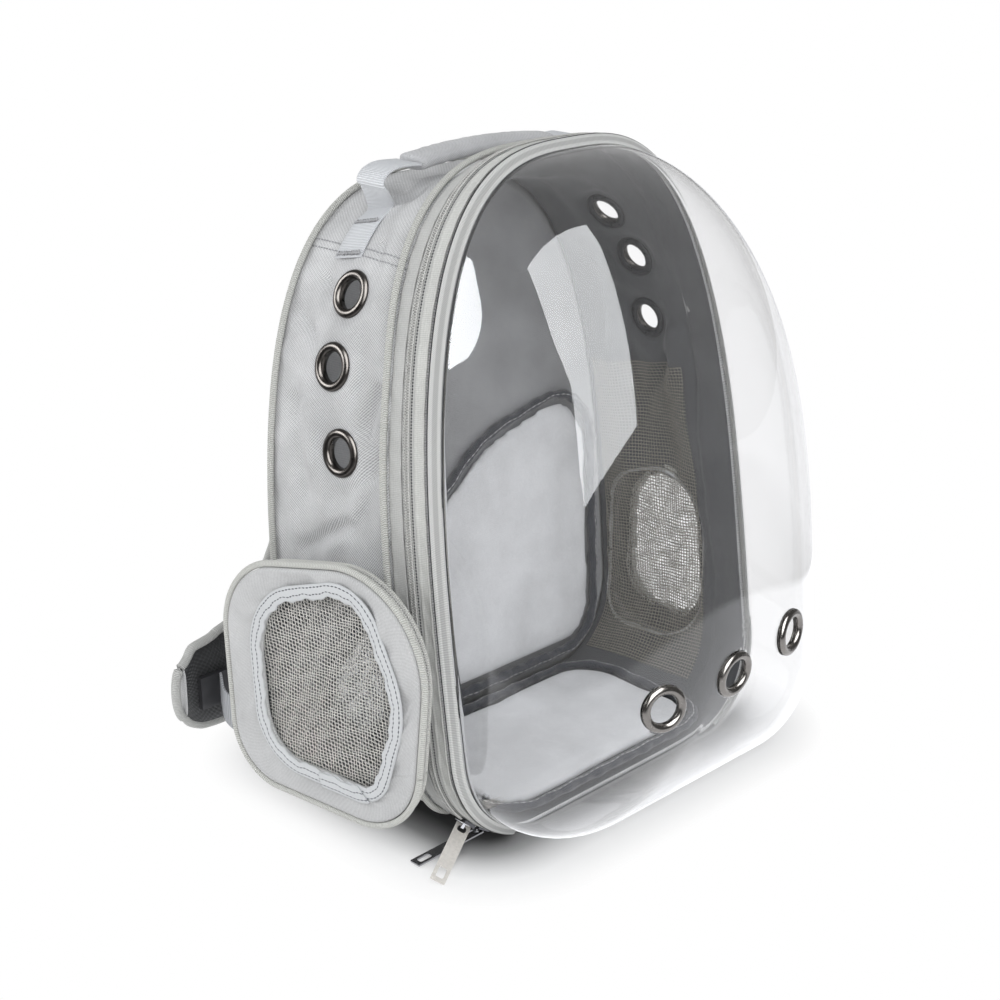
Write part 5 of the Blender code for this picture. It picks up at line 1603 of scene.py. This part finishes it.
for side in ("left", "right"):
    knots = np.array([(x, back - MIDDLE_Y, z) for x, back, z, _ in STRAP_LINE])
    line = through(knots, np.linspace(0, 1, 160))
    width = np.interp(
        np.linspace(0, 1, 160) * (len(knots) - 1), np.arange(len(knots)), [row[3] for row in STRAP_LINE]
    )
    ahead = np.gradient(line, axis=0) * [1, 0, 1]
    ahead = ahead / np.linalg.norm(ahead, axis=1, keepdims=True)
    wide = np.stack([-ahead[:, 2], 0 * width, ahead[:, 0]], 1)
    turn = 2 * math.pi * np.arange(36) / 36
    flat_across = np.sign(np.cos(turn)) * np.abs(np.cos(turn)) ** 0.45
    flat_out = np.sign(np.sin(turn)) * np.abs(np.sin(turn)) ** 0.7
    quilt = 1 + 0.07 * np.sin(np.linspace(0, 26, 160))[:, None] * np.abs(flat_out)[None]
    points = line[:, None] + wide[:, None] * (flat_across[None] * width[:, None] * 0.47)[..., None]
    points = points + np.array([0, 1.0, 0]) * (flat_out[None] * 0.0044 * quilt)[..., None]
    travelled = np.concatenate([[0.0], np.cumsum(np.linalg.norm(np.diff(line, axis=0), axis=1))])
    uv = np.stack(np.broadcast_arrays(travelled[:, None], flat_across[None] * 0.03 + 0.035), -1)
    faces = grid_faces(160, 36, wrap_cols=True)
    strap = mesh_piece(
        "strap_pad_" + side, on_side(points, side), faces, [oxford, mesh_black], uv, outwards=False
    )
    ring_at = np.arange(len(faces)) % 36
    strap.data.polygons.foreach_set("material_index", (ring_at >= 18).astype(np.int32))
    work = bmesh.new()
    work.from_mesh(strap.data)
    bmesh.ops.holes_fill(work, edges=[e for e in work.edges if e.is_boundary], sides=0)
    bmesh.ops.recalc_face_normals(work, faces=work.faces)
    work.to_mesh(strap.data)
    work.free()
    dress(strap, "strap_padding", "shoulder_strap_" + side)
    low_edge, high_edge = line - wide * (width * 0.485)[:, None], line + wide * (width * 0.485)[:, None]
    end_turn = np.linspace(-math.pi / 2, math.pi / 2, 14)[1:-1, None]
    tip = line[-1] + ahead[-1] * 0.006 * np.cos(end_turn) + wide[-1] * width[-1] * 0.485 * np.sin(end_turn)
    rim_line = np.vstack([low_edge, tip, high_edge[::-1]])
    rim_cord = cord_piece(
        "strap_edging_" + side, on_side(rim_line, side), 0.0033, strap_binding, sides=10, closed=False
    )
    dress(rim_cord, "strap_padding")
    knots = [(x, back - MIDDLE_Y, z) for x, back, z in LOWER_WEB]
    web = webbing_piece(
        "lower_web_" + side, knots, [(0.0, 0.0, 1.0)] * 5, 0.025, 0.0016, lower_web_look, side, count=70
    )
    dress(web, "webbing", "lower_webbing_" + side)
adjuster_plastic = plain_look(
    "adjuster plastic", (0.03, 0.03, 0.033), rough=0.38, grain=0.10, scale=160.0, bump=0.05
)
for node in ("strap_adjuster_left", "strap_adjuster_right"):
    frame["nodes"][node].data.materials.clear()
    frame["nodes"][node].data.materials.append(adjuster_plastic)

# The sliders and their pull tabs: nickel-plated zinc. Each tab hangs by its eye on the slider's
# crown, and swings there; both are one nickel, the front one painted pale as lit, the rear one painted dark
# as shaded.
tab_front = plain_look(
    "pull tab nickel painted lit", (0.66, 0.63, 0.59), rough=0.46, metal=0.22, grain=0.08, scale=500.0, bump=0.03
)
tab_rear = plain_look(
    "pull tab nickel painted shade", (0.17, 0.17, 0.175), rough=0.10, metal=1.0, grain=0.08, scale=400.0, bump=0.02
)
slider_dark = plain_look(
    "slider gunmetal", (0.08, 0.08, 0.085), rough=0.28, metal=1.0, grain=0.1, scale=400.0, bump=0.02
)
for node, look in (
    ("pull_tab_front", tab_front), ("pull_tab_rear", tab_rear), ("slider_front", slider_dark),
    ("slider_rear", slider_dark),
):
    frame["nodes"][node].data.materials.clear()
    frame["nodes"][node].data.materials.append(look)

# The stage: a plain pale floor with a painted contact shadow right under the bag, a painted glow
# farther out and a painted table reflection for mirrored rays, a white room, and two softboxes that the
# vinyl mirrors.
floor_mesh = bpy.data.meshes.new("floor")
half = 30.0
floor_mesh.from_pydata(
    [(-half, -half, 0), (half, -half, 0), (half, half, 0), (-half, half, 0)], [], [(0, 1, 2, 3)]
)
floor = bpy.data.objects.new("floor", floor_mesh)
bpy.context.scene.collection.objects.link(floor)


def mirrored_rays(tree):
    """1 on rays that a surface mirrors, 0 on those that it lets through or that the camera sends."""
    rays = link(tree, "ShaderNodeLightPath")
    let_through = link(
        tree, "ShaderNodeMath", operation="SUBTRACT", in_0=1.0, in_1=rays.outputs["Is Transmission Ray"]
    )
    return link(
        tree, "ShaderNodeMath", operation="MULTIPLY", in_0=rays.outputs["Is Glossy Ray"],
        in_1=let_through.outputs[0],
    ).outputs[0]


floor_look = bpy.data.materials.new("floor")
floor_look.use_nodes = True
tree = floor_look.node_tree
shader = tree.nodes["Principled BSDF"]
shader.inputs["Roughness"].default_value = 0.9
shader.inputs["Specular IOR Level"].default_value = 0.1
shader.inputs["Emission Color"].default_value = (1, 1, 1, 1)
place = link(tree, "ShaderNodeTexCoord")
far = link(
    tree, "ShaderNodeVectorMath", operation="DISTANCE", in_0=place.outputs["Object"], in_1=(0.0, -0.1, 0.0)
)
# painted light: the floor glows, not at all near the bag and more farther out, so the ground by the bag
# stays darker
glow = link(
    tree, "ShaderNodeMapRange", in_0=far.outputs["Value"], in_1=0.16, in_2=0.34, in_3=0.0, in_4=0.24
)
tree.links.new(glow.outputs[0], shader.inputs["Emission Strength"])
# painted reflection: for mirrored rays only the floor glows as a white table half a metre round, brighter
# behind the bag
edge = link(
    tree, "ShaderNodeMapRange", in_0=far.outputs["Value"], in_1=0.47, in_2=0.50, in_3=1.7, in_4=0.10
)
behind = link(
    tree, "ShaderNodeVectorMath", operation="DOT_PRODUCT", in_0=place.outputs["Object"],
    in_1=(1.0, 1.0, 0.0),
)
bright = link(
    tree, "ShaderNodeMapRange", in_0=behind.outputs["Value"], in_1=0.15, in_2=0.55, in_3=0.0, in_4=1.0
)
mirrored = link(tree, "ShaderNodeMath", operation="MAXIMUM", in_0=edge.outputs[0], in_1=bright.outputs[0])
table = link(tree, "ShaderNodeEmission", Color=(0.96, 0.97, 1.0, 1.0), Strength=mirrored.outputs[0])
white = link(tree, "ShaderNodeEmission", Color=(1.0, 1.0, 1.0, 1.0), Strength=1.0)
away = link(tree, "ShaderNodeMapRange", in_0=far.outputs["Value"], in_1=0.30, in_2=0.75)
# how far outside the base a place of the floor lies: painted contact shadow right under the edges, then soon
# white
folded_place = link(
    tree, "ShaderNodeVectorMath", operation="ABSOLUTE",
    in_0=link(
        tree, "ShaderNodeVectorMath", operation="SUBTRACT", in_0=place.outputs["Object"],
        in_1=(0.0, 0.03, 0.0),
    ).outputs[0],
)
outside = link(
    tree, "ShaderNodeVectorMath", operation="SUBTRACT", in_0=folded_place.outputs[0],
    in_1=(0.105, 0.075, 0.0),
)
outside = link(
    tree, "ShaderNodeVectorMath", operation="MAXIMUM", in_0=outside.outputs[0], in_1=(0.0, 0.0, 0.0)
)
outside = link(tree, "ShaderNodeVectorMath", operation="LENGTH", in_0=outside.outputs[0])
painted_contact_shadow = link(
    tree, "ShaderNodeMapRange", in_0=outside.outputs["Value"], in_1=0.015, in_2=0.065, in_3=0.12, in_4=0.88
)
grey = link(
    tree, "ShaderNodeCombineColor", Red=painted_contact_shadow.outputs[0], Green=painted_contact_shadow.outputs[0],
    Blue=painted_contact_shadow.outputs[0],
)
tree.links.new(grey.outputs[0], shader.inputs["Base Color"])
near = link(tree, "ShaderNodeMapRange", in_0=outside.outputs["Value"], in_1=0.035, in_2=0.095)
seen = link(
    tree, "ShaderNodeMath", operation="SUBTRACT", in_0=1.0,
    in_1=link(tree, "ShaderNodeLightPath").outputs["Is Diffuse Ray"],
)
shown = link(tree, "ShaderNodeMath", operation="MULTIPLY", in_0=near.outputs[0], in_1=seen.outputs[0])
whiter = link(tree, "ShaderNodeMath", operation="MAXIMUM", in_0=shown.outputs[0], in_1=away.outputs[0])
faded = link(
    tree, "ShaderNodeMixShader", in_0=whiter.outputs[0], in_1=shader.outputs[0], in_2=white.outputs[0]
)
mixed = link(
    tree, "ShaderNodeMixShader", in_0=mirrored_rays(tree), in_1=faded.outputs[0], in_2=table.outputs[0]
)
tree.links.new(mixed.outputs[0], tree.nodes["Material Output"].inputs["Surface"])
floor_mesh.materials.append(floor_look)
world = bpy.data.worlds.new("studio")
world.use_nodes = True
bpy.context.scene.world = world
tree = world.node_tree
sky = tree.nodes["Background"]
rays = link(tree, "ShaderNodeLightPath")
dull = link(
    tree, "ShaderNodeMath", operation="MULTIPLY_ADD", in_0=rays.outputs["Is Diffuse Ray"], in_1=-0.55,
    in_2=1.0,
)
level = link(
    tree, "ShaderNodeMath", operation="MULTIPLY_ADD", in_0=mirrored_rays(tree), in_1=-0.75,
    in_2=dull.outputs[0],
)
sky.inputs["Color"].default_value = (1.0, 1.0, 1.0, 1)
tree.links.new(level.outputs[0], sky.inputs["Strength"])
bpy.context.scene.view_settings.view_transform = "Standard"


def light_card(name, left, right, strength, shine):
    """A glowing card between two edge lines, brighter where it is mirrored."""
    look = bpy.data.materials.new(name)
    look.use_nodes = True
    tree = look.node_tree
    power = link(
        tree, "ShaderNodeMath", operation="MULTIPLY_ADD", in_0=mirrored_rays(tree), in_1=shine - strength,
        in_2=strength,
    )
    glow = link(tree, "ShaderNodeEmission", Color=(0.96, 0.98, 1.0, 1.0), Strength=power.outputs[0])
    tree.links.new(glow.outputs[0], tree.nodes["Material Output"].inputs["Surface"])
    points = np.stack([np.asarray(left, float), np.asarray(right, float)], 1)
    card = mesh_piece(name, points, grid_faces(len(left), 2), look, outwards=False)
    card.visible_camera = False
    return card


window_left = (
    (-1.64, -0.16, 2.34), (-1.96, -1.18, 1.60), (-1.87, -1.63, 1.22), (-1.90, -1.86, 0.41),
    (-1.82, -1.95, 0.17),
)
window_right = (
    (0.52, -0.65, 2.76), (0.49, -1.09, 2.61), (0.11, -1.92, 2.08), (-0.42, -2.56, 0.81),
    (-0.79, -2.51, 0.66),
)
light_card("front softbox", window_left, window_right, 2.2, 12.0)
oval_left = (
    (-1.66, 1.66, 1.80), (-1.40, 1.95, 1.60), (-1.30, 2.10, 1.20), (-1.40, 2.10, 0.85), (-1.90, 1.75, 0.48)
)
oval_right = (
    (-1.70, 1.60, 1.80), (-1.86, 1.32, 1.66), (-2.24, 0.90, 1.30), (-2.28, 1.10, 0.85), (-1.98, 1.65, 0.48)
)
steps = np.linspace(0, 1, 25)
light_card("rear softbox", through(oval_left, steps), through(oval_right, steps), 5.0, 16.0)
